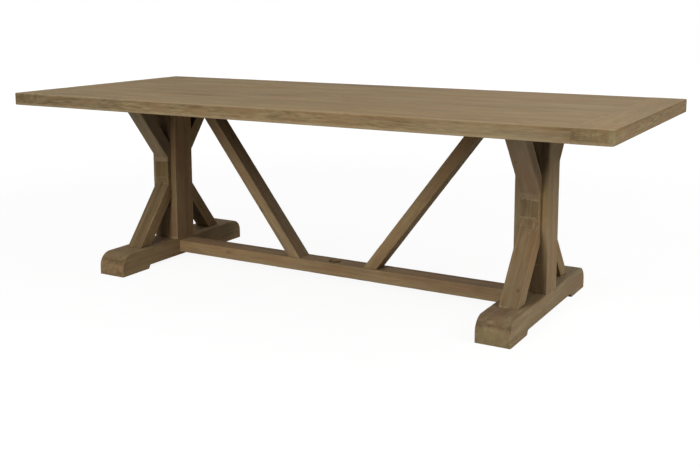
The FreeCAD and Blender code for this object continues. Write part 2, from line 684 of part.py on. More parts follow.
def make_brace(side_name, end_name, lower):
    """A trestle brace, cut level at the foot or bearer and upright against the post."""
    level_name = "lower" if lower else "upper"
    label = "brace_%s_%s_%s" % (side_name, end_name, level_name)
    body = new_body(label)
    side_view = new_sketch(body, label + "_outline", "YZ_Plane")
    if lower:
        level, dowel_y, post_level = FOOT_HEIGHT, LOWER_DOWEL_Y, POST_DOWEL_LEVELS[0]
        elbow = WAIST_LOW - LOWER_SHOULDER
        corners = brace_outline(LOWER_REACH, level, LOWER_CROTCH, WAIST_LOW, elbow)
    else:
        level, dowel_y, post_level = LEDGER_BOTTOM, UPPER_DOWEL_Y, POST_DOWEL_LEVELS[1]
        elbow = WAIST_HIGH + UPPER_SHOULDER
        corners = brace_outline(UPPER_REACH, level, UPPER_CROTCH, WAIST_HIGH, elbow)
    draw_outline(side_view, corners)
    pad(body, side_view, BRACE_THICKNESS, symmetric=True)
    drill(body, label + "_end_dowels", "XY_Plane", level, HOLE_RADIUS, pair(-dowel_y), DOWEL_DEPTH,
          along_normal=lower)
    drill(body, label + "_post_dowels", "XZ_Plane", POST_FACE, HOLE_RADIUS, pair(post_level),
          DOWEL_DEPTH, along_normal=True)
    place(body, SIDES[side_name] * TRESTLE_X, turn=0 if end_name == "front" else HALF_TURN)
    keep(label, body)


def make_waist_block(side_name, end_name):
    """The filler block on the post between a lower and an upper brace."""
    label = "waist_block_%s_%s" % (side_name, end_name)
    body = new_body(label)
    side_view = new_sketch(body, label + "_outline", "YZ_Plane")
    draw_outline(side_view, [
        (-WAIST_FACE, WAIST_LOW),
        (-POST_FACE, WAIST_LOW),
        (-POST_FACE, WAIST_HIGH),
        (-WAIST_FACE, WAIST_HIGH),
    ])
    pad(body, side_view, BRACE_THICKNESS, symmetric=True)
    drill(body, label + "_dowel", "XZ_Plane", POST_FACE, HOLE_RADIUS, [(0, WAIST_MIDDLE)],
          WAIST_DOWEL_DEPTH, along_normal=True)
    place(body, SIDES[side_name] * TRESTLE_X, turn=0 if end_name == "front" else HALF_TURN)
    keep(label, body)


def make_trestle_dowels(side_name, side):
    feet = [rod("foot_dowel", DOWEL_RADIUS, 2 * DOWEL_DEPTH, x, y, FOOT_HEIGHT - DOWEL_DEPTH)
            for x, y in foot_dowel_places(side)]
    group("brace_foot_dowels_" + side_name, feet)
    head_length = DOWEL_DEPTH + LEDGER_DOWEL_DEPTH
    heads = [rod("head_dowel", DOWEL_RADIUS, head_length, x, y, LEDGER_BOTTOM - DOWEL_DEPTH)
             for x, y in head_dowel_places(side)]
    group("brace_head_dowels_" + side_name, heads)

    lying = []
    for end in ENDS.values():
        start = end * (POST_FACE - DOWEL_DEPTH)
        tilt = -90 * end
        for level in POST_DOWEL_LEVELS:
            for x, z in pair(level):
                lying.append(rod("post_dowel", DOWEL_RADIUS, 2 * DOWEL_DEPTH, side * TRESTLE_X + x,
                                 start, z, tilt))
        lying.append(rod("waist_dowel", DOWEL_RADIUS, DOWEL_DEPTH + WAIST_DOWEL_DEPTH,
                         side * TRESTLE_X, start, WAIST_MIDDLE, tilt))
    group("post_dowels_" + side_name, lying)


def make_trestles():
    # The foot is drawn with its stretcher mortise towards +X, so the right one is turned.
    for side_name, turn in (("left", 0), ("right", HALF_TURN)):
        make_foot(side_name, turn)
        make_post(side_name)
        for end_name in ENDS:
            make_brace(side_name, end_name, lower=True)
            make_brace(side_name, end_name, lower=False)
            make_waist_block(side_name, end_name)
        make_trestle_dowels(side_name, SIDES[side_name])


# --- stretcher and long braces --------------------------------------------------------------

LONG_BRACE_SLOPE = (LEDGER_BOTTOM - STRETCHER_TOP) / (LONG_BRACE_HEAD - LONG_BRACE_FOOT)


def long_brace_foot_middle():
    """Where the foot dowels of a long brace stand, inside it over their whole depth."""
    return LONG_BRACE_FOOT - (LONG_BRACE_SEAT - DOWEL_DEPTH / LONG_BRACE_SLOPE) / 2


def long_brace_head_middle():
    return LONG_BRACE_HEAD - (LONG_BRACE_SEAT + DOWEL_DEPTH / LONG_BRACE_SLOPE) / 2


def long_brace_dowel_places(side, middle):
    return [(side * middle, step * DOWEL_SPACING / 2) for step in (-1, 1)]


def make_stretcher():
    """The low rail between the feet, bored for a parasol pole and for the long braces."""
    body = new_body("stretcher")
    rail = new_sketch(body, "rail", "YZ_Plane")
    draw_rectangle(rail, STRETCHER_WIDTH / 2, STRETCHER_BOTTOM, STRETCHER_TOP)
    pad(body, rail, 2 * FOOT_INNER_X, symmetric=True)
    stubs = new_sketch(body, "stubs", "YZ_Plane")
    levels = (STRETCHER_MIDDLE - STUB_HEIGHT / 2, STRETCHER_MIDDLE + STUB_HEIGHT / 2)
    draw_rectangle(stubs, STUB_WIDTH / 2, *levels)
    pad(body, stubs, 2 * (FOOT_INNER_X + STUB_LENGTH), symmetric=True)
    drill(body, "pole_hole", "XY_Plane", STRETCHER_TOP, POLE_HOLE_RADIUS, [(0, 0)], STRETCHER_HEIGHT)
    dowels = []
    pegs = []
    for side in SIDES.values():
        dowels += long_brace_dowel_places(side, long_brace_foot_middle())
        pegs += [(side * PEG_X, step * PEG_SPACING / 2) for step in (-1, 1)]
    drill(body, "brace_bores", "XY_Plane", STRETCHER_TOP, HOLE_RADIUS, dowels, DOWEL_DEPTH)
    drill(body, "stub_peg_holes", "XY_Plane", levels[1], PEG_RADIUS + FIT_GAP, pegs, STUB_HEIGHT)
    keep("stretcher", body)
    group("stretcher_pegs", [rod("stub_peg", PEG_RADIUS, PEG_LENGTH, x, y, PAD_HEIGHT) for x, y in pegs])


def make_long_brace(side_name, turn):
    """A long brace from the stretcher up and out to its cleat, cut level at both ends."""
    label = "long_brace_" + side_name
    body = new_body(label)
    side_view = new_sketch(body, label + "_outline", "XZ_Plane")
    draw_outline(side_view, [
        (LONG_BRACE_FOOT - LONG_BRACE_SEAT, STRETCHER_TOP),
        (LONG_BRACE_FOOT, STRETCHER_TOP),
        (LONG_BRACE_HEAD, LEDGER_BOTTOM),
        (LONG_BRACE_HEAD - LONG_BRACE_SEAT, LEDGER_BOTTOM),
    ])
    pad(body, side_view, LONG_BRACE_WIDTH, symmetric=True)
    foot_places = long_brace_dowel_places(1, long_brace_foot_middle())
    head_places = long_brace_dowel_places(1, long_brace_head_middle())
    drill(body, label + "_foot_dowels", "XY_Plane", STRETCHER_TOP, HOLE_RADIUS, foot_places,
          DOWEL_DEPTH, along_normal=True)
    drill(body, label + "_head_dowels", "XY_Plane", LEDGER_BOTTOM, HOLE_RADIUS, head_places, DOWEL_DEPTH)
    place(body, turn=turn)
    keep(label, body)


def make_long_brace_dowels():
    dowels = []
    for side in SIDES.values():
        for x, y in long_brace_dowel_places(side, long_brace_foot_middle()):
            dowels.append(rod("long_foot_dowel", DOWEL_RADIUS, 2 * DOWEL_DEPTH, x, y,
                              STRETCHER_TOP - DOWEL_DEPTH))
        for x, y in long_brace_dowel_places(side, long_brace_head_middle()):
            dowels.append(rod("long_head_dowel", DOWEL_RADIUS, DOWEL_DEPTH + LEDGER_DOWEL_DEPTH, x, y,
                              LEDGER_BOTTOM - DOWEL_DEPTH))
    group("long_brace_dowels", dowels)


# --- the whole table ------------------------------------------------------------------------

def check_and_write():
    """Refuse a failed feature or a bad shape, then write one STEP file per piece."""
    DOC.recompute()
    for thing in DOC.Objects:
        faults = [word for word in ("Invalid", "Error") if word in thing.State]
        if faults:
            raise RuntimeError("%s is %s" % (thing.Label, " and ".join(faults)))
    os.makedirs("parts", exist_ok=True)
    for piece in PIECES:
        if piece.Shape.isNull() or not piece.Shape.isValid():
            raise RuntimeError("%s has no valid shape" % piece.Label)
    for piece in PIECES:
        piece.Shape.exportStep("parts/%s.step" % piece.Label)
    print("wrote %d pieces" % len(PIECES))


make_top()
make_ledgers()
make_trestles()
make_stretcher()
make_long_brace("right", 0)
make_long_brace("left", HALF_TURN)
make_long_brace_dowels()
check_and_write()
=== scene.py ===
"""Looks of a trestle dining table in weathered reclaimed teak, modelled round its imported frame.

Lengths are metres, Z is up, X runs along the table and the front is towards -Y.
"""

import logging
import math
import random
from collections.abc import Callable, Iterator
from contextlib import contextmanager
from dataclasses import dataclass
from enum import Enum

import bmesh
import bpy
from mathutils import Matrix, Vector


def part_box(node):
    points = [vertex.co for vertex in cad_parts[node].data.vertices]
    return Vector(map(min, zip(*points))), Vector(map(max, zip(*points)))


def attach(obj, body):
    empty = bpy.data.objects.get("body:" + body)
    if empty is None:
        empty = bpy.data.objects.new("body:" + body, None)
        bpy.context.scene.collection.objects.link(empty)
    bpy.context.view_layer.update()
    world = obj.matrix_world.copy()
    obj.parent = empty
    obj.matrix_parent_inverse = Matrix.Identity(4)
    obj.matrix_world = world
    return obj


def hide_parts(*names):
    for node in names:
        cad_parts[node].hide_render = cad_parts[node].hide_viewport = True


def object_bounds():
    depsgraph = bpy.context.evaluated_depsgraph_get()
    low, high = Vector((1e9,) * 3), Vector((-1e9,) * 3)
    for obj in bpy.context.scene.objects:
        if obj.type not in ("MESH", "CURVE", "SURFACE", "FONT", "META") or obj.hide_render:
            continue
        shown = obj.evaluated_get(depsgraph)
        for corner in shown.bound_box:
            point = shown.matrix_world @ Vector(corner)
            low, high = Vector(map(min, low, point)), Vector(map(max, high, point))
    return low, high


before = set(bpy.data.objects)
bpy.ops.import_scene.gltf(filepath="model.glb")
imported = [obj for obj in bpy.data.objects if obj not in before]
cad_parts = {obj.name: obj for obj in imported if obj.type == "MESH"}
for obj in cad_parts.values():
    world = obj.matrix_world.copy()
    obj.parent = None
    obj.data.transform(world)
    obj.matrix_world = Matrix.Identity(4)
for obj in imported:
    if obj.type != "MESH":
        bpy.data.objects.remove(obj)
CAD_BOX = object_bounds()

MM = 0.001
TABLE_BODY = "table"
CAP_BODY = "parasol_cap"
ALONG_X = Vector((1, 0, 0))
ALONG_Y = Vector((0, 1, 0))
ALONG_Z = Vector((0, 0, 1))
NEAR = 0.4 * MM
OVERSHOOT = 5 * MM
# Cosines of edges and faces that follow a direction, that lean to it, and that stand square to it.
FOLLOWS = 0.9
LEANS = 0.5
SQUARE = 0.1
SHARP_EDGE = math.radians(24)
SMOOTH_BELOW = math.radians(48)
FLAT_AREA = 60 * MM * MM
ARRIS_SEGMENTS = 2
HOLE_SIDES = 48
DISC_SIDES = 96
CHIP_DEPTH = 1.6
ARRIS_GROUP = "arris"
WORN = "worn"

Test = Callable[[Vector, Vector], bool]


class Side(Enum):
    """The two ends of the table, as signs along X."""

    LEFT = -1
    RIGHT = 1


class Face(Enum):
    """The two long sides of the table, as signs along Y."""

    FRONT = -1
    BACK = 1


class Tier(Enum):
    """Where a brace springs from: up from the foot, or down from the bearer."""

    LOWER = 1
    UPPER = -1


class Element(Enum):
    """What is selected in edit mode."""

    EDGE = "EDGE"
    FACE = "FACE"


class Slot(Enum):
    """Slots for the timbers that are modelled anew."""

    TOP = "top_timber"
    FRAME = "frame_timber"


# --- finishes ---------------------------------------------------------------------------------

Colour = tuple[float, float, float, float]
Span = tuple[float, float]
Source = bpy.types.NodeSocket | bpy.types.Node

PUTTY = "#b9a680"
# A dark brown, for dirt and for painted shade.
DIRT_AND_SHADE = "#2b2116"
# A pale tan, for wood that sun and hands have bleached and for painted light.
BLEACHED_AND_LIT = "#c6b08a"
EVEN_TONE_AND_SHADE = (1.0, 1.0, 1.0)
MIDDLE_GREY = (0.5, 0.5, 0.5)
EASED = {"interpolation_type": "SMOOTHSTEP"}
TIMES = {"operation": "MULTIPLY"}


def linear(code: str) -> Colour:
    """Turn an sRGB hex colour to linear light.

    Args:
        code: Six hex digits after a hash, such as "#8f7d62".

    Returns:
        Red, green, blue and an alpha of 1.
    """
    shares = [int(code[place:place + 2], 16) / 255 for place in (1, 3, 5)]
    red, green, blue = [s / 12.92 if s <= 0.04045 else ((s + 0.055) / 1.055) ** 2.4 for s in shares]
    return red, green, blue, 1.0


def between(value: Source, levels: Span) -> dict:
    """Give the inputs that turn a value to 0 at the first level and to 1 at the second."""
    return {"Value": value, "From Min": levels[0], "From Max": levels[1]}


def per(size: Span) -> tuple[float, float, float]:
    """Give the scales that draw a pattern out to its size along the fibres and across them."""
    return 1 / size[0], 1 / size[1], 1 / size[1]


class Recipe:
    """The node tree of a material or a backdrop, built up from nothing."""

    def __init__(self, holder: bpy.types.Material | bpy.types.World) -> None:
        """Empty the holder's node tree.

        Args:
            holder: The material or the world.
        """
        holder.use_nodes = True
        self.tree = holder.node_tree
        self.tree.nodes.clear()

    def add(self, kind: str, inputs: dict, **settings: object) -> bpy.types.Node:
        """Add a node with its settings, values and links.

        Args:
            kind: The node's type name, without its "ShaderNode" start.
            inputs: Socket names or numbers, each with a value, or with an output socket or a node
                to link. A node stands for the first of its outputs that is in use.
            settings: The node's own properties.

        Returns:
            The new node.
        """
        node = self.tree.nodes.new("ShaderNode" + kind)
        for name, value in settings.items():
            setattr(node, name, value)
        for socket, value in inputs.items():
            if isinstance(value, bpy.types.Node):
                value = next(output for output in value.outputs if output.enabled)
            if isinstance(value, bpy.types.NodeSocket):
                self.tree.links.new(value, node.inputs[socket])
            else:
                node.inputs[socket].default_value = value
        return node

    def figure(self, fibres: Source, size: Span, detail: float) -> bpy.types.Node:
        """Draw a cloudy figure that is drawn out along the fibres.

        Args:
            fibres: Coordinates with X along the fibres.
            size: The figure's size along the fibres and across them.
            detail: How many finer layers it has.

        Returns:
            The figure, about 0.5 on average.
        """
        scaled = self.add("VectorMath", {0: fibres, 1: per(size)}, **TIMES)
        return self.add("TexNoise", {"Vector": scaled, "Scale": 1.0, "Detail": detail, "Roughness": 0.58})

    def weigh(self, start: float, *parts: tuple[Source, float]) -> bpy.types.Node:
        """Add up values, each times its weight.

        Args:
            start: What the sum starts from.
            parts: Pairs of a value and its weight.

        Returns:
            The sum.
        """
        total = start
        for value, weight in parts:
            total = self.add("Math", {0: value, 1: weight, 2: total}, operation="MULTIPLY_ADD")
        return total

    def stain(self, shade: Source, colour: Colour, mask: Source, strength: float) -> bpy.types.Node:
        """Lay a colour over another where a mask shows.

        Args:
            shade: The colour under it.
            colour: The colour, in linear light.
            mask: Where it lies, from 0 to 1.
            strength: How much of it shows where the mask is 1.

        Returns:
            The stained colour.
        """
        share = self.add("Math", {0: mask, 1: strength}, **TIMES)
        return self.add("Mix", {0: share, 6: shade, 7: colour}, data_type="RGBA")

    def stray(self, place: Source, ragged: bpy.types.Node, reach: tuple[float, ...]) -> bpy.types.Node:
        """Let coordinates stray with a noise's colour.

        Args:
            place: The coordinates.
            ragged: The noise.
            reach: How far they stray along X, Y and Z.

        Returns:
            The strayed coordinates.
        """
        centred = self.add("VectorMath", {0: ragged.outputs["Color"], 1: MIDDLE_GREY}, operation="SUBTRACT")
        return self.add("VectorMath", {0: centred, 1: reach, 2: place}, operation="MULTIPLY_ADD")


@dataclass(frozen=True)
class Smear:
    """A mark on the wood, such as pale putty rubbed into a joint or a nail hole. Some are patches of
    painted light and painted shade.

    Its place is its middle, and its reach is how far it spreads along X, Y and Z, both in
    millimetres. A crumbly one has bare specks in it.
    """

    at: tuple[float, float, float]
    reach: tuple[float, float, float]
    colour: str = PUTTY
    strength: float = 0.55
    crumbly: bool = True


@dataclass(frozen=True)
class EvenPatch(Smear):
    """An even mark with no bare specks, for dirt, bleached wood, painted light and painted shade."""

    crumbly: bool = False


@dataclass(frozen=True)
class Knot:
    """A knot that the fibres flow round, with its place and radius in millimetres."""

    at: tuple[float, float, float]
    radius: float


@dataclass(frozen=True)
class WeatheredTeak:
    """Reclaimed teak, brushed, left outdoors and never oiled.

    The grey-brown of sun-bleached wood, with long faint streaks, flat-sawn rings, open pores and
    fine checks along the grain, darker end grain, and a paler worn line on every arris. Painted
    shade darkens the crooks and the faces that look up under the top. It is matt all over.
    """

    name: str
    slot: Slot
    # Its colours, and how much of each shows where it shows most.
    pale: str = "#a6916a"
    middle: str = "#907b59"
    deep: str = "#725e42"
    silver: str = "#918669"
    silvering: float = 0.45
    blush: str = "#947756"
    blushing: float = 0.5
    side_flush: float = 0.0
    pith: str = "#59432d"
    pith_depth: float = 0.42
    check: str = "#3f3122"
    check_depth: float = 0.4
    arris_wear: float = 0.5
    # Painted shade in the crooks that ambient occlusion finds: how dark, and how far it looks.
    crook_shade: float = 0.85
    crook_shade_reach: float = 150 * MM
    # Painted shade on the faces that look up under the top.
    upward_shade: float = 0.0
    # How lively the grain is, on all faces and on the upright ones along it.
    contrast: float = 1.0
    side_contrast: float = 0.0
    # Real sizes of its figure, each along the fibres and across them.
    streak: Span = (560 * MM, 14 * MM)
    fleck: Span = (60 * MM, 11 * MM)
    pore: Span = (70 * MM, 1.6 * MM)
    patch: Span = (480 * MM, 160 * MM)
    split: Span = (110 * MM, 2.6 * MM)
    mottle: Span = (120 * MM, 22 * MM)
    dash: Span = (60 * MM, 8 * MM)
    silver_patch: Span = (500 * MM, 120 * MM)
    blush_patch: Span = (260 * MM, 70 * MM)
    flush_patch: Span = (100 * MM, 14 * MM)
    fibre_drift: Span = (900 * MM, 220 * MM)
    knot_spacing: Span = (300 * MM, 130 * MM)
    knot_reach: float = 0.27
    knot_swell: float = 3.2
    ring_spacing: float = 6.5 * MM
    smear_grit: float = 24 * MM
    smear_stray: float = 9 * MM
    crumb: float = 9 * MM
    # Where a piece lies in its log: how far along it, and how far beside and above its pith.
    place_along: Span = (3, 60)
    place_beside: Span = (-50 * MM, 50 * MM)
    place_above: Span = (90 * MM, 170 * MM)
    # How far the fibres wander along X, Y and Z, and how far a knot pushes the rings out.
    wander: tuple[float, float, float] = (0, 30 * MM, 50 * MM)
    knot_push: tuple[float, float, float] = (0, 0, 30 * MM)
    # The levels between which each mask goes from 0 to 1.
    end_grain_slope: Span = (0.62, 0.88)
    upright_slope: Span = (0.7, 0.3)
    upward_shade_slope: Span = (0.3, 0.6)
    late_wood_level: Span = (0.45, 0.9)
    split_level: Span = (0.29, 0.22)
    silver_level: Span = (0.45, 0.72)
    blush_level: Span = (0.46, 0.68)
    flush_level: Span = (0.47, 0.62)
    pith_level: Span = (0.66, 0.95)
    crook_level: Span = (0.6, 0.33)
    crumb_level: Span = (0.36, 0.56)
    smear_edge: Span = (1.3, 0.6)
    clear_of_floor: Span = (80 * MM, 170 * MM)
    relief: float = 0.5 * MM
    roughness: float = 0.66

    def cut(
        self, name: str, grain: Vector, middle: Vector, marks: tuple[Smear, ...] = (),
        knots: tuple[Knot, ...] = (), tone_and_shade: tuple[float, float, float] = EVEN_TONE_AND_SHADE,
    ) -> bpy.types.Material:
        """Make the material of one piece, with its own stretch of the log.

        Args:
            name: The piece's name, which also seeds its place in the log.
            grain: The way its fibres run.
            middle: The piece's middle.
            marks: The marks on it, painted light and shade among them.
            knots: Its knots, besides the few that the log has anyway.
            tone_and_shade: How much more red, green and blue it sends back than the average board, for
            its own tone and for painted light and shade.

        Returns:
            The piece's material.
        """
        material = bpy.data.materials.new(f"{self.name}_{name}")
        wood = Recipe(material)
        place = wood.add("TexCoord", {})
        fibres, rings_at, knotted = self._lay_in_log(wood, place, name, grain, middle, knots)
        facing = wood.add("VectorMath", {0: place.outputs["Normal"], 1: grain}, operation="DOT_PRODUCT")
        slope = wood.add("Math", {0: facing}, operation="ABSOLUTE")
        end_grain = wood.add("MapRange", between(slope, self.end_grain_slope), **EASED)
        normal = wood.add("SeparateXYZ", {0: place.outputs["Normal"]})
        tilt = wood.add("Math", {0: normal.outputs["Z"]}, operation="ABSOLUTE")
        upright = wood.add("MapRange", between(tilt, self.upright_slope), **EASED)
        along = wood.weigh(1.0, (end_grain, -1.0))
        sawn_face = wood.add("Math", {0: upright, 1: along}, **TIMES)

        streaks = wood.figure(fibres, self.streak, 3.0)
        pores = wood.figure(fibres, self.pore, 2.0)
        rings = wood.add("TexWave", {
            "Vector": rings_at, "Scale": 2 * math.pi / (20 * self.ring_spacing), "Distortion": 3.2,
            "Detail": 2.0, "Detail Scale": 1.0,
        }, wave_type="RINGS", rings_direction="X", wave_profile="SAW")
        late_wood = wood.add("MapRange", between(rings.outputs["Fac"], self.late_wood_level), **EASED)
        splits = wood.add("MapRange", between(
            wood.figure(fibres, self.split, 1.0), self.split_level), **EASED)
        lightness = self._lightness(wood, fibres, streaks, pores, late_wood, end_grain, sawn_face)

        pale, middling, deep, silver, blush = (
            tuple(share * gain for share, gain in zip(linear(code), (*tone_and_shade, 1.0)))
            for code in (self.pale, self.middle, self.deep, self.silver, self.blush)
        )
        shade = wood.add("ValToRGB", {"Fac": lightness})
        tones = shade.color_ramp.elements
        tones.new(0.5)
        for element, level, colour in zip(tones, (0.1, 0.5, 0.9), (deep, middling, pale)):
            element.position = level
            element.color = colour
        silvered = wood.add("MapRange", between(
            wood.figure(fibres, self.silver_patch, 3.0), self.silver_level), **EASED)
        shade = wood.stain(shade, silver, silvered, self.silvering)
        blushed = wood.add("MapRange", between(
            wood.figure(rings_at, self.blush_patch, 2.0), self.blush_level), **EASED)
        shade = wood.stain(shade, blush, blushed, self.blushing)
        flushed = wood.add("MapRange", between(
            wood.figure(rings_at, self.flush_patch, 2.0), self.flush_level), **EASED)
        flushed_side = wood.add("Math", {0: sawn_face, 1: flushed}, **TIMES)
        shade = wood.stain(shade, blush, flushed_side, self.side_flush)
        shade = wood.stain(shade, linear(self.check), splits, self.check_depth)
        heart = wood.add("MapRange", between(knotted, self.pith_level), **EASED)
        shade = wood.stain(shade, linear(self.pith), heart, self.pith_depth)
        worn = wood.add("Attribute", {}, attribute_name=WORN)
        shade = wood.stain(shade, pale, worn.outputs["Fac"], self.arris_wear)
        # Painted shade in the crooks that ambient occlusion finds, kept clear of the floor.
        corners = wood.add("AmbientOcclusion", {"Distance": self.crook_shade_reach}, samples=8)
        crook = wood.add("MapRange", between(corners.outputs["AO"], self.crook_level), **EASED)
        spot = wood.add("SeparateXYZ", {0: place.outputs["Object"]})
        off_floor = wood.add("MapRange", between(spot.outputs["Z"], self.clear_of_floor), **EASED)
        painted_crook_shade = wood.add("Math", {0: crook, 1: off_floor}, **TIMES)
        shade = wood.stain(shade, linear(DIRT_AND_SHADE), painted_crook_shade, self.crook_shade)
        # Painted shade on the faces that look up under the top.
        upward_shaded = wood.add("MapRange", between(normal.outputs["Z"], self.upward_shade_slope), **EASED)
        shade = wood.stain(shade, linear(DIRT_AND_SHADE), upward_shaded, self.upward_shade)
        if marks:
            shade = self._marked(wood, place.outputs["Object"], marks, shade)

        height = wood.weigh(0.5, (pores, 0.5), (late_wood, 0.25), (splits, -1.2), (streaks, 0.4))
        bump = wood.add("Bump", {"Height": height, "Distance": self.relief, "Strength": 0.8})
        teak = wood.add("BsdfPrincipled", {
            "Base Color": shade, "Roughness": wood.weigh(self.roughness, (pores, 0.2)), "IOR": 1.5,
            "Specular IOR Level": 0.15, "Normal": bump,
        })
        wood.add("OutputMaterial", {"Surface": teak})
        return material

    def _lay_in_log(
        self, wood: Recipe, place: bpy.types.Node, name: str, grain: Vector, middle: Vector,
        knots: tuple[Knot, ...],
    ) -> tuple[bpy.types.Node, bpy.types.Node, bpy.types.Node]:
        """Lay the piece in its log, with X along the fibres and the pith at Y = Z = 0.

        Args:
            wood: The material's recipe.
            place: The piece's own coordinates.
            name: The piece's name, which seeds its place.
            grain: The way its fibres run.
            middle: The piece's middle.
            knots: Its chosen knots.

        Returns:
            The coordinates of the wandering fibres, those of the rings that swell round knots,
            and how near a knot is, from 0 to 1.
        """
        chance = random.Random(name)
        turn = grain.rotation_difference(ALONG_X)
        heart = Vector([chance.uniform(*r) for r in (self.place_along, self.place_beside, self.place_above)])
        shift = heart - turn @ middle
        log = wood.add("Mapping", {
            "Vector": place.outputs["Object"], "Rotation": turn.to_euler(), "Location": shift,
        })
        drawn_out = wood.add("VectorMath", {0: log, 1: per(self.fibre_drift)}, **TIMES)
        drift = wood.add("TexNoise", {"Vector": drawn_out, "Scale": 1.0})
        fibres = wood.stray(log, drift, self.wander)
        apart = wood.add("VectorMath", {0: log, 1: per(self.knot_spacing)}, **TIMES)
        cells = wood.add("TexVoronoi", {"Vector": apart, "Scale": 1.0})
        near = wood.add("MapRange", between(cells.outputs["Distance"], (self.knot_reach, 0.0)), **EASED)
        for knot in knots:
            core = turn @ (Vector(knot.at) * MM) + shift
            away = wood.add("VectorMath", {0: log, 1: core}, operation="DISTANCE")
            reach = self.knot_swell * knot.radius * MM
            swell = wood.add("MapRange", between(away, (reach, 0.0)), **EASED)
            near = wood.add("Math", {0: near, 1: swell}, operation="MAXIMUM")
        rings_at = wood.add("VectorMath", {0: near, 1: self.knot_push, 2: fibres}, operation="MULTIPLY_ADD")
        return fibres, rings_at, near

    def _lightness(
        self, wood: Recipe, fibres: Source, streaks: Source, pores: Source, late_wood: Source,
        end_grain: Source, sawn_face: Source,
    ) -> bpy.types.Node:
        """Say how pale the wood is, before it weathers.

        Args:
            wood: The material's recipe.
            fibres: Coordinates with X along the fibres.
            streaks: The long streaks.
            pores: The open pores.
            late_wood: Where a ring's dark late wood is.
            end_grain: Where the end grain shows.
            sawn_face: Where an upright face shows its long grain.

        Returns:
            The lightness, from 0 to 1.
        """
        patches = wood.figure(fibres, self.patch, 4.0)
        fine = wood.weigh(-1.025, (streaks, 1.1), (wood.figure(fibres, self.fleck, 3.0), 0.6), (pores, 0.35))
        calmed = wood.add("Math", {0: fine, 1: wood.weigh(1.0, (end_grain, -0.8))}, **TIMES)
        mottles = wood.add("Math", {0: end_grain, 1: wood.figure(fibres, self.mottle, 2.0)}, **TIMES)
        end_rings = wood.add("Math", {0: late_wood, 1: end_grain}, **TIMES)
        dashes = wood.weigh(-0.5, (wood.figure(fibres, self.dash, 3.0), 1.0))
        sawn_dashes = wood.add("Math", {0: sawn_face, 1: dashes}, **TIMES)
        # The weights keep the average near the middle tone, whatever the contrast.
        return wood.weigh(
            0.56 - 0.7 * self.contrast, (calmed, self.contrast), (patches, 1.4 * self.contrast),
            (late_wood, -0.09 * self.contrast), (end_rings, -0.16), (mottles, 1.4), (end_grain, -0.85),
            (sawn_dashes, self.side_contrast),
        )

    def _marked(
        self, wood: Recipe, place: Source, marks: tuple[Smear, ...], shade: Source,
    ) -> bpy.types.Node:
        """Lay marks on the wood, with ragged edges and bare specks; some are painted light and shade.

        Args:
            wood: The material's recipe.
            place: The piece's own coordinates.
            marks: The marks, painted light and shade among them.
            shade: The colour under them.

        Returns:
            The smeared colour.
        """
        ragged = wood.add("TexNoise", {"Vector": place, "Scale": 1 / self.smear_grit, "Detail": 3.0})
        strayed = wood.stray(place, ragged, (self.smear_stray,) * 3)
        crumbs = wood.add("TexNoise", {"Vector": place, "Scale": 1 / self.crumb, "Detail": 2.0})
        rubbed = wood.add("MapRange", between(crumbs, self.crumb_level), **EASED)
        for smear in marks:
            middle, reach = Vector(smear.at) * MM, Vector(smear.reach) * MM
            away = wood.add("VectorMath", {0: strayed, 1: middle}, operation="SUBTRACT")
            shares = wood.add("VectorMath", {0: away, 1: reach}, operation="DIVIDE")
            span = wood.add("VectorMath", {0: shares}, operation="LENGTH")
            mask = wood.add("MapRange", between(span, self.smear_edge), **EASED)
            if smear.crumbly:
                mask = wood.add("Math", {0: mask, 1: rubbed}, **TIMES)
            shade = wood.stain(shade, linear(smear.colour), mask, smear.strength)
        return shade


@dataclass(frozen=True)
class TurnedHardwood:
    """Turned hardwood dowel, unfinished: a warm, even tan with a fine straight grain."""

    name: str = "turned_hardwood"
    pale: str = "#c2a377"
    deep: str = "#9a7850"
    fibre_width: float = 1.2 * MM
    relief: float = 0.1 * MM
    roughness: float = 0.7

    def make(self) -> bpy.types.Material:
        """Make the dowels' material.

        Returns:
            The material.
        """
        material = bpy.data.materials.new(self.name)
        wood = Recipe(material)
        place = wood.add("TexCoord", {})
        fibres = wood.add("TexNoise", {
            "Vector": place.outputs["Object"], "Scale": 1 / self.fibre_width, "Detail": 3.0,
        })
        colour = wood.add("Mix", {0: fibres, 6: linear(self.deep), 7: linear(self.pale)}, data_type="RGBA")
        bump = wood.add("Bump", {"Height": fibres, "Distance": self.relief})
        dowel = wood.add("BsdfPrincipled", {
            "Base Color": colour, "Roughness": self.roughness, "IOR": 1.5, "Normal": bump,
        })
        wood.add("OutputMaterial", {"Surface": dowel})
        return material


@dataclass(frozen=True)
class ZincPlate:
    """Zinc-plated steel, dull after years outdoors, with grey blooms."""

    name: str = "zinc_plated_steel"
    bright: str = "#b9b6ae"
    dull: str = "#85827b"
    bloom: float = 4 * MM
    roughness: float = 0.3
    bloom_roughness: float = 0.25

    def make(self) -> bpy.types.Material:
        """Make the screws' material.

        Returns:
            The material.
        """
        material = bpy.data.materials.new(self.name)
        metal = Recipe(material)
        place = metal.add("TexCoord", {})
        blooms = metal.add("TexNoise", {
            "Vector": place.outputs["Object"], "Scale": 1 / self.bloom, "Detail": 4.0,
        })
        dull, bright = linear(self.dull), linear(self.bright)
        colour = metal.add("Mix", {0: blooms, 6: dull, 7: bright}, data_type="RGBA")
        matt = metal.weigh(self.roughness, (blooms, self.bloom_roughness))
        steel = metal.add("BsdfPrincipled", {"Base Color": colour, "Roughness": matt, "Metallic": 1.0})
        metal.add("OutputMaterial", {"Surface": steel})
        return material


TOP_TEAK = WeatheredTeak("weathered_teak_top", Slot.TOP, contrast=0.8, side_contrast=2.1, side_flush=0.7)
FRAME_TEAK = WeatheredTeak(
    "weathered_teak_frame", Slot.FRAME, pale="#af976c", middle="#967c56", deep="#745c3d", silver="#958866",
    blush="#9a7751", contrast=0.85, upward_shade=0.31, knot_reach=0.2,
)
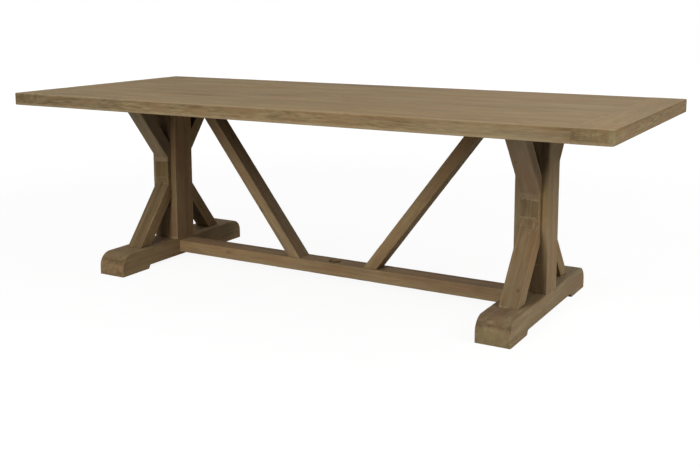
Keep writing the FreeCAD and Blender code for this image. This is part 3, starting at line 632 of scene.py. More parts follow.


# Each piece's gains on red, green and blue: its own tone, and painted light and painted shade.
TONES_AND_SHADE = {
    "plank_1": (1.0, 1.0, 1.0),
    "plank_2": (0.98, 0.98, 0.98),
    "plank_3": (1.02, 1.01, 1.0),
    "plank_4": (0.97, 0.97, 0.98),
    "plank_5": (1.01, 1.02, 1.03),
    "plank_6": (0.98, 0.97, 0.95),
    "plank_7": (1.02, 1.02, 1.02),
    "plank_8": (0.96, 0.96, 0.97),
    "foot_left": (1.18, 1.22, 1.34),
    "foot_right": (0.97, 1.02, 1.18),
    "post_left": (1.0, 0.96, 1.05),
    "post_right": (1.07, 1.12, 1.28),
    "brace_left_front_lower": (0.87, 0.87, 0.9),
    "brace_left_front_upper": (1.08, 1.2, 1.52),
    "brace_right_front_lower": (1.13, 1.11, 1.18),
    "brace_right_front_upper": (1.12, 1.21, 1.56),
    "waist_block_left_front": (0.63, 0.63, 0.59),
    "waist_block_right_front": (0.9, 0.97, 1.09),
    "stretcher": (1.16, 1.12, 1.2),
    "long_brace_left": (1.17, 1.2, 1.36),
    "long_brace_right": (1.07, 1.06, 1.12),
}


def joint_putty() -> list[Smear]:
    """List the putty along the joints of both trestles, thick in some places and thin in others.

    Returns:
        The smears.
    """
    chance = random.Random("putty")
    trestle, post_front, block_front, soaked_in = 846, 58, 77, 8
    joints = ((90, post_front), (368, block_front), (437, block_front), (690, post_front))
    marks = []
    for side in Side:
        for face in Face:
            for height, front in joints:
                across = chance.uniform(-22, 22)
                spread = (chance.uniform(14, 40), soaked_in, chance.uniform(1.2, 2.2))
                at = (trestle * side.value + across, front * face.value, height)
                marks.append(Smear(at, spread, strength=0.4))
    return marks


MARKS_LIGHT_AND_SHADE = tuple(joint_putty()) + (
    # Putty on the right trestle, the left trestle and the top, in that order.
    Smear((850, -77, 436), (40, 8, 2.6), strength=0.75),
    Smear((822, -77, 440), (7, 6, 4)),
    Smear((818, -77, 456), (4, 6, 3)),
    Smear((874, -77, 433), (11, 8, 5)),
    Smear((850, -77, 370), (44, 8, 3.0), strength=0.8),
    Smear((868, -77, 362), (16, 8, 6)),
    Smear((882, -76, 402), (4, 5, 32), strength=0.7),
    Smear((896, -57, 364), (13, 6, 15), strength=0.7),
    Smear((888, -57, 336), (5, 6, 22), strength=0.5),
    Smear((868, -57, 198), (44, 6, 2.4)),
    Smear((850, -57, 92), (60, 6, 2.4)),
    Smear((828, -269, 92), (26, 7, 3)),
    Smear((868, 201, 92), (24, 8, 3)),
    EvenPatch((-812, -57, 92), (32, 9, 5), strength=0.85),
    Smear((-796, -57, 92), (9, 8, 4)),
    Smear((-782, -381, 66), (4, 12, 3)),
    Smear((-782, -240, 86), (4, 9, 3)),
    Smear((1195, -520, 744), (10, 4, 2.6)),
    Smear((1191, -520, 739), (8, 4, 2.2)),
    Smear((1250, -40, 750), (4, 9, 4)),
    # Painted shade deep in the stretcher's bore.
    EvenPatch((0, 27, 60), (32, 18, 13), "#1d150c", 0.92),
    # Paler and darker patches, each described above its entries.
    # Paler along the bottom of the top's front edge.
    EvenPatch((0, -520, 709), (2400, 7, 12), BLEACHED_AND_LIT, 0.35),
    # Bleached by sun and hands along the top's upper front arris.
    EvenPatch((0, -514, 760), (2400, 13, 6), BLEACHED_AND_LIT, 0.25),
    # Painted light on the right part of the top's front edge.
    EvenPatch((830, -520, 736), (240, 8, 48), BLEACHED_AND_LIT, 0.3),
    # Painted shadow on the back half of the left foot's inner side.
    EvenPatch((-782, 215, 50), (10, 150, 60), DIRT_AND_SHADE, 0.34),
    # Bleached by sun and hands at the top's rounded right front corner.
    EvenPatch((1248, -518, 735), (15, 15, 60), "#b3a67c", 0.45),
    # Painted shade, darker and warmer, over the right part of the top.
    EvenPatch((900, -200, 760), (1000, 1100, 14), "#86683c", 0.26),
    # Darker along the back of the stretcher's top, and paler low on its front.
    EvenPatch((0, 43, 81), (1100, 27, 8), DIRT_AND_SHADE, 0.3),
    EvenPatch((0, -43, 33), (1100, 8, 14), BLEACHED_AND_LIT, 0.2),
    # Paler low on the right foot's front end.
    EvenPatch((846, -411, 28), (70, 10, 44), "#a8996e", 0.45),
    # Painted shadow high on the right post's front, beside the upper brace.
    EvenPatch((890, -57, 640), (15, 8, 130), DIRT_AND_SHADE, 0.6),
    # Painted light on the right post's front, beside the waist block.
    EvenPatch((893, -57, 400), (20, 6, 90), "#a98d62", 0.8),
    # Darker on the feet's tops between the front braces and the posts.
    EvenPatch((-846, -150, 90), (75, 120, 8), "#4a3418", 0.6),
    EvenPatch((846, -150, 90), (75, 120, 8), "#4a3418", 0.5),
    # Painted light on the inner sides of the left lower front brace and of the left foot's front half.
    EvenPatch((-809, -200, 230), (6, 120, 150), "#c0a074", 0.42),
    EvenPatch((-782, -230, 45), (8, 180, 50), "#c4a97e", 0.36),
    # Painted light near the right end of the top's front edge.
    EvenPatch((1185, -520, 735), (70, 6, 40), "#b39a70", 0.16),
    # Painted shade on the lower braces' shoulders, under the front waist blocks.
    EvenPatch((846, -77, 352), (50, 7, 17), DIRT_AND_SHADE, 0.26),
    EvenPatch((-846, -77, 352), (50, 7, 17), DIRT_AND_SHADE, 0.22),
    # A dark line along the upper arris of the top's right end.
    Smear((1250, 0, 755), (3, 520, 4), DIRT_AND_SHADE, 0.3),
    # Painted light on the sides of the front waist blocks that face the right end.
    EvenPatch((883, -67, 400), (5, 16, 75), "#a98d62", 0.75),
    EvenPatch((-809, -67, 400), (5, 16, 75), "#8a7350", 0.7),
    # An olive tone on the posts' fronts beside the braces.
    EvenPatch((-796, -57, 400), (12, 5, 330), "#6f5c3c", 0.4),
    EvenPatch((893, -57, 200), (22, 8, 110), "#7d6240", 0.5),
    # Painted shadow low on the outer part of the left post's front.
    EvenPatch((-880, -57, 170), (34, 8, 110), "#4a3820", 0.6),
    # Painted shade high on the inner side of the left upper front brace.
    EvenPatch((-809, -150, 600), (5, 150, 180), DIRT_AND_SHADE, 0.48),
    # Last crumbs of putty and scuffs, over all the rest.
    Smear((24, 2, 81), (5, 5, 3)),
    Smear((864, -79, 344), (4, 6, 15)),
    Smear((875, -80, 330), (3, 6, 12)),
    Smear((851, -86, 318), (3, 8, 13), strength=0.4),
    Smear((833, -398, 80), (17, 9, 11), "#b3a07a", 0.5),
    Smear((850, -318, 90), (60, 34, 12), "#54442c", 0.3),
    Smear((-842, -318, 90), (60, 34, 12), "#54442c", 0.2),
    Smear((1250, -104, 738), (4, 20, 10), "#8a5c3a", 0.6),
)
KNOTS = (
    Knot((865, -227, 145), 7),
    Knot((827, -173, 581), 6),
    Knot((-38, 44, 760), 5),
    Knot((82, -20, 760), 6),
)


# --- the workbench ----------------------------------------------------------------------------

def deselect_all() -> None:
    """Leave nothing selected, in object mode."""
    bpy.ops.object.select_all(action="DESELECT")


def select_only(piece: bpy.types.Object) -> None:
    """Select one object and make it active.

    Args:
        piece: The object.
    """
    deselect_all()
    piece.select_set(True)
    bpy.context.view_layer.objects.active = piece


def clouds(name: str, size: float, contrast: float, brightness: float) -> bpy.types.Texture:
    """Make a cloud texture that drives the wear of the arrises.

    Args:
        name: The texture's name.
        size: Size of its clouds.
        contrast: Its contrast, 1 being plain.
        brightness: Its brightness, 1 being plain.

    Returns:
        The texture.
    """
    texture = bpy.data.textures.new(name, "CLOUDS")
    texture.noise_scale = size
    texture.noise_depth = 2
    texture.contrast = contrast
    texture.intensity = brightness
    texture.use_clamp = True
    return texture


WANDER = clouds("arris_wander", 45 * MM, 1.6, 1.0)
CHIPS = clouds("arris_chips", 22 * MM, 4.0, 2.0)


class Workpiece:
    """A piece of timber on the bench, modelled in its own place in the table."""

    def __init__(self, name: str) -> None:
        """Take up the block that was just put on the bench.

        Args:
            name: The piece's name.
        """
        self.object = bpy.context.active_object
        self.object.name = name
        self.object.data.name = name
        bpy.ops.object.transform_apply(location=True, rotation=True, scale=True)
        self.object.vertex_groups.new(name=ARRIS_GROUP)

    @classmethod
    def sawn(cls, name: str, low: Vector, high: Vector) -> "Workpiece":
        """Start from a sawn block.

        Args:
            name: The piece's name.
            low: The block's lowest corner.
            high: The block's highest corner.

        Returns:
            The block.
        """
        deselect_all()
        bpy.ops.mesh.primitive_cube_add(size=1, location=(low + high) / 2, scale=high - low)
        return cls(name)

    @classmethod
    def turned(cls, name: str, radius: float, low: float, high: float) -> "Workpiece":
        """Start from a disc turned round the table's middle.

        Args:
            name: The piece's name.
            radius: The disc's radius.
            low: Its lowest height.
            high: Its highest height.

        Returns:
            The disc.
        """
        deselect_all()
        bpy.ops.mesh.primitive_cylinder_add(
            vertices=DISC_SIDES, radius=radius, depth=high - low, location=(0, 0, (low + high) / 2),
        )
        return cls(name)

    @contextmanager
    def editing(self) -> Iterator[None]:
        """Hold the piece in edit mode.

        Yields:
            Nothing, while it is held.
        """
        select_only(self.object)
        bpy.ops.object.mode_set(mode="EDIT")
        yield
        bpy.ops.object.mode_set(mode="OBJECT")

    def pick(self, element: Element, wanted: Test, sharp_only: bool = False) -> None:
        """Select faces or edges by where they are.

        Args:
            element: Whether edges or faces are picked.
            wanted: Says yes to a middle and a direction, which is a face's normal or an edge's own.
            sharp_only: Whether an edge must also be a sharp one.
        """
        bpy.ops.mesh.select_mode(type=element.value)
        bpy.ops.mesh.select_all(action="DESELECT")
        mesh = bmesh.from_edit_mesh(self.object.data)
        mesh.normal_update()
        if element is Element.FACE:
            for face in mesh.faces:
                face.select_set(wanted(face.calc_center_median(), face.normal))
        else:
            for edge in mesh.edges:
                start, end = (vertex.co for vertex in edge.verts)
                if sharp_only and edge.calc_face_angle(0) < SHARP_EDGE:
                    continue
                edge.select_set(wanted((start + end) / 2, (end - start).normalized()))
        mesh.select_flush_mode()
        bmesh.update_edit_mesh(self.object.data)

    def score(self, direction: Vector, spacing: float) -> None:
        """Divide the piece across its length, so that its arrises can wander.

        Args:
            direction: The way that the piece runs.
            spacing: About how far apart the divisions lie.
        """
        reach = [direction.dot(vertex.co) for vertex in self.object.data.vertices]
        low, high = min(reach), max(reach)
        count = round((high - low) / spacing)
        with self.editing():
            for step in range(1, count):
                bpy.ops.mesh.select_all(action="SELECT")
                place = direction * (low + (high - low) * step / count)
                bpy.ops.mesh.bisect(plane_co=place, plane_no=direction)

    def bore(self, places: list[Vector], radius: float, low: float, high: float) -> None:
        """Drill upright holes.

        Args:
            places: Points that the holes' axes pass through.
            radius: The holes' radius.
            low: Height at which they start.
            high: Height at which they end.
        """
        deselect_all()
        bits = []
        for place in places:
            bpy.ops.mesh.primitive_cylinder_add(
                vertices=HOLE_SIDES, radius=radius, depth=high - low,
                location=(place.x, place.y, (low + high) / 2),
            )
            bits.append(bpy.context.active_object)
        for bit in bits:
            bit.select_set(True)
        if len(bits) > 1:
            bpy.ops.object.join()
        cutter = bpy.context.active_object
        select_only(self.object)
        bpy.ops.object.modifier_add(type="BOOLEAN")
        cut = self.object.modifiers[-1]
        cut.object = cutter
        cut.operation = "DIFFERENCE"
        cut.solver = "EXACT"
        bpy.ops.object.modifier_apply(modifier=cut.name)
        select_only(cutter)
        bpy.ops.object.delete()

    def ease(self, width: float, wanted: Test, free: bool = False) -> None:
        """Round the sharp edges that a test picks.

        Args:
            width: How far the rounding reaches on each face.
            wanted: Says yes to an edge's middle and direction.
            free: Whether they are free arrises, which wander, chip and wear pale.
        """
        with self.editing():
            self.pick(Element.EDGE, wanted, sharp_only=True)
            bpy.ops.mesh.bevel(offset=width, segments=ARRIS_SEGMENTS, affect="EDGES")
            if free:
                self.object.vertex_groups.active_index = 0
                bpy.ops.object.vertex_group_assign()

    def wear(self, amount: float) -> None:
        """Let the arrises wander and chip, always into the wood.

        Args:
            amount: How deep the wander goes.
        """
        for texture, depth in ((WANDER, amount), (CHIPS, CHIP_DEPTH * amount)):
            select_only(self.object)
            bpy.ops.object.modifier_add(type="DISPLACE")
            rub = self.object.modifiers[-1]
            rub.texture = texture
            rub.texture_coords = "LOCAL"
            rub.strength = depth
            rub.mid_level = 1.0
            rub.vertex_group = ARRIS_GROUP
            bpy.ops.object.modifier_apply(modifier=rub.name)

    def finish(self, teak: WeatheredTeak, grain: Vector) -> bpy.types.Object:
        """Mark the worn crests, smooth the roundings and dress the piece.

        Args:
            teak: The finish.
            grain: The way its fibres run.

        Returns:
            The finished piece.
        """
        mesh = self.object.data
        flat = {vertex for face in mesh.polygons if face.area > FLAT_AREA for vertex in face.vertices}
        worn = mesh.attributes.new(WORN, "FLOAT", "POINT")
        for vertex in mesh.vertices:
            worn.data[vertex.index].value = float(bool(vertex.groups) and vertex.index not in flat)
        select_only(self.object)
        bpy.ops.object.shade_smooth_by_angle(angle=SMOOTH_BELOW)
        bpy.ops.object.modifier_add(type="WEIGHTED_NORMAL")
        flatten = self.object.modifiers[-1]
        flatten.keep_sharp = True
        bpy.ops.object.modifier_apply(modifier=flatten.name)
        corners = [Vector(corner) for corner in self.object.bound_box]
        low, high = corners[0] / MM, corners[6] / MM
        marks = tuple(s for s in MARKS_LIGHT_AND_SHADE if is_within(s.at, s.reach, low, high))
        knots = tuple(k for k in KNOTS if is_within(k.at, (k.radius,) * 3, low, high))
        mesh.materials.clear()
        name = self.object.name
        tone_and_shade = TONES_AND_SHADE.get(name.removesuffix("_worn"), EVEN_TONE_AND_SHADE)
        mesh.materials.append(teak.cut(name, grain, (low + high) * MM / 2, marks, knots, tone_and_shade))
        return self.object


def is_within(at: tuple, reach: tuple, low: Vector, high: Vector) -> bool:
    """Say whether something at a place, with its reach, touches a box."""
    return all(low[k] - reach[k] <= at[k] <= high[k] + reach[k] for k in range(3))


def corners(node: str) -> tuple[Vector, Vector]:
    """Find the lowest and the highest corner of the block that a CAD node fills."""
    low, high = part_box(node)
    return Vector(low), Vector(high)


def settle(piece: bpy.types.Object, body: str, *nodes: str) -> bpy.types.Object:
    """Let a finished piece ride on its body and stand for its CAD nodes.

    Args:
        piece: The piece.
        body: The body.
        nodes: The nodes.

    Returns:
        The piece.
    """
    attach(piece, body)
    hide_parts(*nodes)
    return piece


# --- sub-assemblies ---------------------------------------------------------------------------

@dataclass
class TableTop:
    """Eight planks between two breadboard ends, with a plug over the parasol hole."""

    plank_count: int = 8
    tongue: float = 30 * MM
    cap_seat_radius: float = 37 * MM
    cap_seat_depth: float = 10 * MM
    pole_radius: float = 28 * MM
    pin_radius: float = 5 * MM
    pin_hole: float = 5.2 * MM
    stem_gap: float = 1 * MM
    cap_arris: float = 1.3 * MM
    # Rings turned in the cap, from its rim inwards: how wide each is and how much it rises.
    cap_rings: tuple[Span, ...] = ((12 * MM, 0), (0.8 * MM, -0.7 * MM), (1.2 * MM, 0), (0.8 * MM, 0.7 * MM))
    seam: float = 0.7 * MM
    arris: float = 2.8 * MM
    corner: float = 5 * MM
    worn_corner: float = 14 * MM
    corner_segments: int = 5
    plank_wander: float = 0.35 * MM
    end_wander: float = 0.4 * MM
    division: float = 24 * MM

    def build(self) -> list[bpy.types.Object]:
        """Build the top's pieces.

        Returns:
            The planks, the breadboards and the plug.
        """
        planks = [self.build_plank(number) for number in range(1, self.plank_count + 1)]
        ends = [self.build_breadboard(side) for side in Side]
        return planks + ends + [self.build_cap()]

    def build_plank(self, number: int) -> bpy.types.Object:
        """Build one plank, between the breadboards.

        Args:
            number: Its place, counted from the front.

        Returns:
            The plank.
        """
        node = f"plank_{number}"
        low, high = corners(node)
        inset = Vector((self.tongue, 0, 0))
        plank = Workpiece.sawn(f"{node}_worn", low + inset, high - inset)
        plank.score(ALONG_X, self.division)
        if abs(low.y) < NEAR or abs(high.y) < NEAR:
            plank.bore([Vector()], self.cap_seat_radius, high.z - self.cap_seat_depth, high.z + OVERSHOOT)
            plank.bore([Vector()], self.pole_radius, low.z - OVERSHOOT, high.z + OVERSHOOT)
        edge = max(abs(low.y), abs(high.y))
        if edge > CAD_BOX[1].y - NEAR:
            plank.ease(
                self.arris, lambda at, way: abs(abs(at.y) - edge) < NEAR and abs(way.x) > FOLLOWS, True,
            )
        plank.ease(self.seam, lambda at, way: True)
        plank.wear(self.plank_wander)
        return settle(plank.finish(TOP_TEAK, ALONG_X), TABLE_BODY, node)

    def build_breadboard(self, side: Side) -> bpy.types.Object:
        """Build one breadboard end, with its rounded outer corners and bored pin holes.

        Args:
            side: The end of the table.

        Returns:
            The breadboard.
        """
        node = f"breadboard_end_{side.name.lower()}"
        low, high = corners(node)
        end = Workpiece.sawn(f"{node}_worn", low, high)
        reach = max(abs(low.x), abs(high.x))
        for face in Face:
            radius = self.worn_corner if (side, face) == (Side.RIGHT, Face.FRONT) else self.corner
            outer = Vector((side.value * reach, face.value * high.y, 0))
            with end.editing():
                end.pick(
                    Element.EDGE, lambda at, way: abs(way.z) > FOLLOWS and (at - outer).xy.length < NEAR,
                )
                bpy.ops.mesh.bevel(offset=radius, segments=self.corner_segments, affect="EDGES")
        end.score(ALONG_Y, self.division)
        pin_high = corners("breadboard_pins")[1]
        step = (high.y - low.y) / self.plank_count
        column = side.value * (pin_high.x - self.pin_radius)
        places = [Vector((column, low.y + step * (k + 0.5), 0)) for k in range(self.plank_count)]
        end.bore(places, self.pin_hole, low.z - OVERSHOOT, pin_high.z)
        free_from = reach - self.worn_corner
        end.ease(self.arris, lambda at, way: abs(at.x) > free_from and abs(way.z) < LEANS, True)
        end.ease(self.seam, lambda at, way: True)
        end.wear(self.end_wander)
        return settle(end.finish(TOP_TEAK, ALONG_Y), TABLE_BODY, node)

    def build_cap(self) -> bpy.types.Object:
        """Build the turned plug: a rim with a bevelled edge over a stem that drops in the hole.

        Returns:
            The plug.
        """
        node = "parasol_cap"
        low, high = corners(node)
        rim = high.x
        depth = self.cap_seat_depth
        cap = Workpiece.turned(f"{node}_turned", rim, high.z - depth, high.z)
        stem = self.pole_radius - self.stem_gap
        with cap.editing():
            cap.pick(Element.FACE, lambda at, way: way.z < -FOLLOWS)
            bpy.ops.mesh.inset(thickness=rim - stem)
            bpy.ops.mesh.extrude_region_move(
                TRANSFORM_OT_translate={"value": (0, 0, low.z - high.z + depth)},
            )
            cap.pick(Element.FACE, lambda at, way: way.z > FOLLOWS)
            for thickness, rise in self.cap_rings:
                bpy.ops.mesh.inset(thickness=thickness, depth=rise)
        cap.ease(self.cap_arris, lambda at, way: at.z > low.z + NEAR and at.xy.length > stem - self.stem_gap)
        return settle(cap.finish(TOP_TEAK, ALONG_X), CAP_BODY, node)


@dataclass
class Ledgers:
    """The bearers, the middle batten and the cleats that are screwed up under the top."""

    arris: float = 2.5 * MM
    rim: float = 0.6 * MM
    wander: float = 0.5 * MM
    screw_hole: float = 5.5 * MM
    screw_sink: float = 4 * MM
    screw_margin: float = 13 * MM
    screw_rows: tuple[float, float, float] = (82 * MM, 161 * MM, 320.5 * MM)
    end_chamfer: float = 6 * MM
    division: float = 30 * MM
    pole_radius: float = 28 * MM

    def build(self) -> list[bpy.types.Object]:
        """Build the ledgers.

        Returns:
            The ledgers.
        """
        nodes = ("bearer_left", "bearer_right", "middle_batten", "brace_cleat_left", "brace_cleat_right")
        return [self.build_ledger(node) for node in nodes]

    def build_ledger(self, node: str) -> bpy.types.Object:
        """Build one ledger, with chamfered lower ends.

        Args:
            node: The CAD node that it stands for.

        Returns:
            The ledger.
        """
        low, high = corners(node)
        ledger = Workpiece.sawn(f"{node}_worn", low, high)
        with ledger.editing():
            ledger.pick(Element.EDGE, lambda at, way: abs(way.x) > FOLLOWS and at.z < low.z + NEAR)
            bpy.ops.mesh.bevel(offset=self.end_chamfer, segments=1, affect="EDGES")
        ledger.score(ALONG_Y, self.division)
        if node == "middle_batten":
            ledger.bore([Vector()], self.pole_radius, low.z - OVERSHOOT, high.z + OVERSHOOT)
        places = self.screw_places(low, high)
        ledger.bore(places, self.screw_hole, low.z - OVERSHOOT, low.z + self.screw_sink)
        ledger.ease(self.arris, lambda at, way: abs(way.y) > FOLLOWS and at.z < low.z + NEAR, True)
        ledger.ease(self.rim, lambda at, way: True)
        ledger.wear(self.wander)
        return settle(ledger.finish(FRAME_TEAK, ALONG_Y), TABLE_BODY, node)

    def screw_places(self, low: Vector, high: Vector) -> list[Vector]:
        """Find the axes of a ledger's screws.

        Args:
            low: The ledger's lowest corner.
            high: The ledger's highest corner.

        Returns:
            Points on the axes.
        """
        short = high.y - low.y < 2 * self.screw_rows[0]
        rows = (high.y - self.screw_margin,) if short else self.screw_rows
        columns = (low.x + self.screw_margin, high.x - self.screw_margin)
        return [Vector((x, sign * y, 0)) for x in columns for y in rows for sign in (-1, 1)]


@dataclass
class Trestle:
    """One trestle: a round-ended foot, a post, four braces and two waist blocks."""

    side: Side
    end_radius: float = 56 * MM
    end_segments: int = 14
    free_from: float = 150 * MM
    pad_length: float = 160 * MM
    hollow: float = 16 * MM
    hollow_slope: float = 10 * MM
    peg_radius: float = 5 * MM
    peg_hole: float = 5.2 * MM
    peg_top: float = 76 * MM
    brace_seat: float = 69 * MM
    lower_shoulder: float = 31 * MM
    upper_shoulder: float = 19.5 * MM
    arris: float = 2.6 * MM
    joint: float = 0.4 * MM
    wander: float = 0.5 * MM
    foot_wander: float = 0.7 * MM
    division: float = 22 * MM

    @property
    def end(self) -> str:
        """The side's name as the nodes spell it."""
        return self.side.name.lower()

    def build(self) -> list[bpy.types.Object]:
        """Build the trestle's pieces.

        Returns:
            The foot, the post, and each face's waist block and braces.
        """
        pieces = [self.build_foot(), self.build_post()]
        for face in Face:
            pieces.append(self.build_waist_block(face))
            for tier in Tier:
                pieces.append(self.build_brace(face, tier))
        return pieces

    def build_foot(self) -> bpy.types.Object:
        """Build the foot, with its round ends and the hollow between its pads.

        Returns:
            The foot.
        """
        node = f"foot_{self.end}"
        low, high = corners(node)
        foot = Workpiece.sawn(f"{node}_worn", low, high)
        inner = high.y - self.pad_length
        roof = inner - self.hollow_slope
        with foot.editing():
            foot.pick(Element.EDGE, lambda at, way: abs(way.x) > FOLLOWS and at.z > high.z - NEAR)
            bpy.ops.mesh.bevel(offset=self.end_radius, segments=self.end_segments, affect="EDGES")
            for cut in (inner, roof):
                for sign in (-1, 1):
                    bpy.ops.mesh.select_all(action="SELECT")
                    bpy.ops.mesh.bisect(plane_co=(0, sign * cut, 0), plane_no=ALONG_Y)
            foot.pick(Element.FACE, lambda at, way: way.z < -FOLLOWS and abs(at.y) < roof)
            bpy.ops.transform.translate(value=(0, 0, self.hollow))
        foot.score(ALONG_Y, self.division)
        foot.bore(self.peg_places(), self.peg_hole, low.z - OVERSHOOT, self.peg_top)
        foot.ease(self.arris, lambda at, way: at.z > self.hollow + NEAR and abs(at.y) > self.free_from, True)
        foot.ease(self.joint, lambda at, way: True)
        foot.wear(self.foot_wander)
        return settle(foot.finish(FRAME_TEAK, ALONG_Y), TABLE_BODY, node)

    def peg_places(self) -> list[Vector]:
        """Find the axes of the two pegs that lock the stretcher's stub in the foot.

        Returns:
            Points on the axes.
        """
        high = corners("stretcher_pegs")[1]
        column, row = high.x - self.peg_radius, high.y - self.peg_radius
        return [Vector((self.side.value * column, sign * row, 0)) for sign in (-1, 1)]

    def build_post(self) -> bpy.types.Object:
        """Build the post as far as it shows, from the foot to the bearer.

        Returns:
            The post.
        """
        node = f"post_{self.end}"
        low, high = corners(node)
        low.z = corners(f"foot_{self.end}")[1].z
        high.z = corners(f"bearer_{self.end}")[0].z
        post = Workpiece.sawn(f"{node}_worn", low, high)
        post.score(ALONG_Z, self.division)
        post.ease(self.arris, lambda at, way: abs(way.z) > FOLLOWS, True)
        post.ease(self.joint, lambda at, way: True)
        post.wear(self.wander)
        return settle(post.finish(FRAME_TEAK, ALONG_Z), TABLE_BODY, node)

    def build_waist_block(self, face: Face) -> bpy.types.Object:
        """Build the block that keeps a pair of braces apart at the post's waist.

        Args:
            face: The side of the table that it is on.

        Returns:
            The block.
        """
        node = f"waist_block_{self.end}_{face.name.lower()}"
        block = Workpiece.sawn(f"{node}_worn", *corners(node))
        block.score(ALONG_Z, self.division)
        block.ease(self.arris, lambda at, way: abs(way.z) > FOLLOWS, True)
        block.ease(self.joint, lambda at, way: True)
        block.wear(self.wander)
        return settle(block.finish(FRAME_TEAK, ALONG_Z), TABLE_BODY, node)

    def build_brace(self, face: Face, tier: Tier) -> bpy.types.Object:
        """Build one brace, from its seat on the foot or bearer to the waist block.

        Args:
            face: The side of the table that it is on.
            tier: Whether it is the lower or the upper brace.

        Returns:
            The brace.
        """
        node = f"brace_{self.end}_{face.name.lower()}_{tier.name.lower()}"
        low, high = corners(node)
        shoulder = self.lower_shoulder if tier is Tier.LOWER else self.upper_shoulder
        block_low, block_high = corners(f"waist_block_{self.end}_front")
        neck = block_high.y - block_low.y
        rise = tier.value
        root, tip = (low.z, high.z) if tier is Tier.LOWER else (high.z, low.z)
        post_face = min(abs(low.y), abs(high.y))
        reach = max(abs(low.y), abs(high.y))
        climb = abs(tip - root) - shoulder
        run = reach - post_face - neck
        inner_run = reach - self.brace_seat - post_face
        inner_climb = climb * inner_run / run

        start = Vector((low.x, face.value * (reach - self.brace_seat), root))
        stop = Vector((high.x, face.value * reach, root + rise * inner_climb))
        lows, highs = ([f(a, b) for a, b in zip(start, stop)] for f in (min, max))
        brace = Workpiece.sawn(f"{node}_worn", Vector(lows), Vector(highs))
        with brace.editing():
            brace.pick(Element.FACE, lambda at, way: rise * way.z > FOLLOWS)
            bpy.ops.transform.translate(value=(0, -face.value * inner_run, 0))
            bpy.ops.mesh.extrude_region_move(
                TRANSFORM_OT_translate={"value": (0, 0, rise * (climb - inner_climb))},
            )
            bpy.ops.transform.resize(
                value=(1, neck / self.brace_seat, 1), center_override=(0, face.value * post_face, 0),
            )
            bpy.ops.mesh.extrude_region_move(TRANSFORM_OT_translate={"value": (0, 0, rise * shoulder)})
        slant = Vector((0, -face.value * run, rise * climb)).normalized()
        brace.score(slant, self.division)
        brace.ease(self.arris, lambda at, way: self.is_free(at, way, slant, post_face), True)
        brace.ease(self.joint, lambda at, way: True)
        brace.wear(self.wander)
        return settle(brace.finish(FRAME_TEAK, slant), TABLE_BODY, node)

    @staticmethod
    def is_free(at: Vector, way: Vector, slant: Vector, post_face: float) -> bool:
        """Say whether a brace's edge is a free one, away from the post and its seat."""
        return abs(way.x) < SQUARE and abs(way.dot(slant)) > LEANS and abs(at.y) > post_face + NEAR


@dataclass
class Spine:
    """The stretcher between the feet and the two long braces that rise from it."""

    stub: float = 40 * MM
    pole_radius: float = 28 * MM
    brace_seat: float = 59 * MM
    arris: float = 2.6 * MM
    rim: float = 1.4 * MM
    joint: float = 0.4 * MM
    wander: float = 0.5 * MM
    beam_wander: float = 0.6 * MM
    division: float = 24 * MM

    def build(self) -> list[bpy.types.Object]:
        """Build the stretcher and its braces."""
        return [self.build_stretcher()] + [self.build_long_brace(side) for side in Side]

    def build_stretcher(self) -> bpy.types.Object:
        """Build the stretcher, bored for the parasol's pole.

        Returns:
            The stretcher.
        """
        node = "stretcher"
        low, high = corners(node)
        inset = Vector((self.stub, 0, 0))
        beam = Workpiece.sawn(f"{node}_worn", low + inset, high - inset)
        beam.score(ALONG_X, self.division)
        beam.bore([Vector()], self.pole_radius, low.z - OVERSHOOT, high.z + OVERSHOOT)
        beam.ease(self.arris, lambda at, way: abs(way.x) > FOLLOWS and abs(at.y) > high.y - NEAR, True)
        beam.ease(self.rim, lambda at, way: abs(at.x) < 2 * self.pole_radius)
        beam.wear(self.beam_wander)
        return settle(beam.finish(FRAME_TEAK, ALONG_X), TABLE_BODY, node)

    def build_long_brace(self, side: Side) -> bpy.types.Object:
        """Build one long brace, from the stretcher out to its cleat.

        Args:
            side: The end of the table that it leans to.

        Returns:
            The brace.
        """
        node = f"long_brace_{side.name.lower()}"
        low, high = corners(node)
        root = min(abs(low.x), abs(high.x))
        tip = max(abs(low.x), abs(high.x))
        ends = sorted((side.value * root, side.value * (root + self.brace_seat)))
        brace = Workpiece.sawn(
            f"{node}_worn", Vector((ends[0], low.y, low.z)), Vector((ends[1], high.y, high.z)),
        )
        lean = side.value * (tip - root - self.brace_seat)
        with brace.editing():
            brace.pick(Element.FACE, lambda at, way: way.z > FOLLOWS)
            bpy.ops.transform.translate(value=(lean, 0, 0))
        slant = Vector((lean, 0, high.z - low.z)).normalized()
        brace.score(slant, self.division)
        brace.ease(self.arris, lambda at, way: abs(way.dot(slant)) > FOLLOWS, True)
        brace.ease(self.joint, lambda at, way: True)
        brace.wear(self.wander)
        return settle(brace.finish(FRAME_TEAK, slant), TABLE_BODY, node)


class Joinery:
    """The splines, pins, dowels, pegs and screws, whose CAD shapes stay."""

    def build(self) -> list[bpy.types.Object]:
        """Dress the pieces that are carried over.

        Returns:
            The pieces.
        """
        hardwood = TurnedHardwood().make()
        steel = ZincPlate().make()
        pieces = []
        for name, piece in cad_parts.items():
            if not name.endswith(("_splines", "_pins", "_pegs", "_screws")) and "dowels" not in name:
                continue
            finish = steel if name.endswith("_screws") else hardwood
            piece.data.materials.clear()
            piece.data.materials.append(finish)
            pieces.append(piece)
        return pieces


# --- the studio -------------------------------------------------------------------------------

@dataclass(frozen=True)
class Lamp:
    """A tall soft lamp that points at the table.

    Its azimuth is in degrees round the table, 0 being the front and 90 the right end, its
    elevation in degrees above the horizon, and its power in watts.
    """

    name: str
    azimuth: float
    elevation: float
    width: float
    power: float


LAMPS = (
    Lamp("front", -4, 28, 1.5, 117),
    Lamp("front_right", 45, 35, 3.0, 22),
    Lamp("right", 90, 35, 3.0, 106),
    Lamp("left", -90, 35, 3.0, 38),
    Lamp("back", 180, 35, 3.0, 42),
)


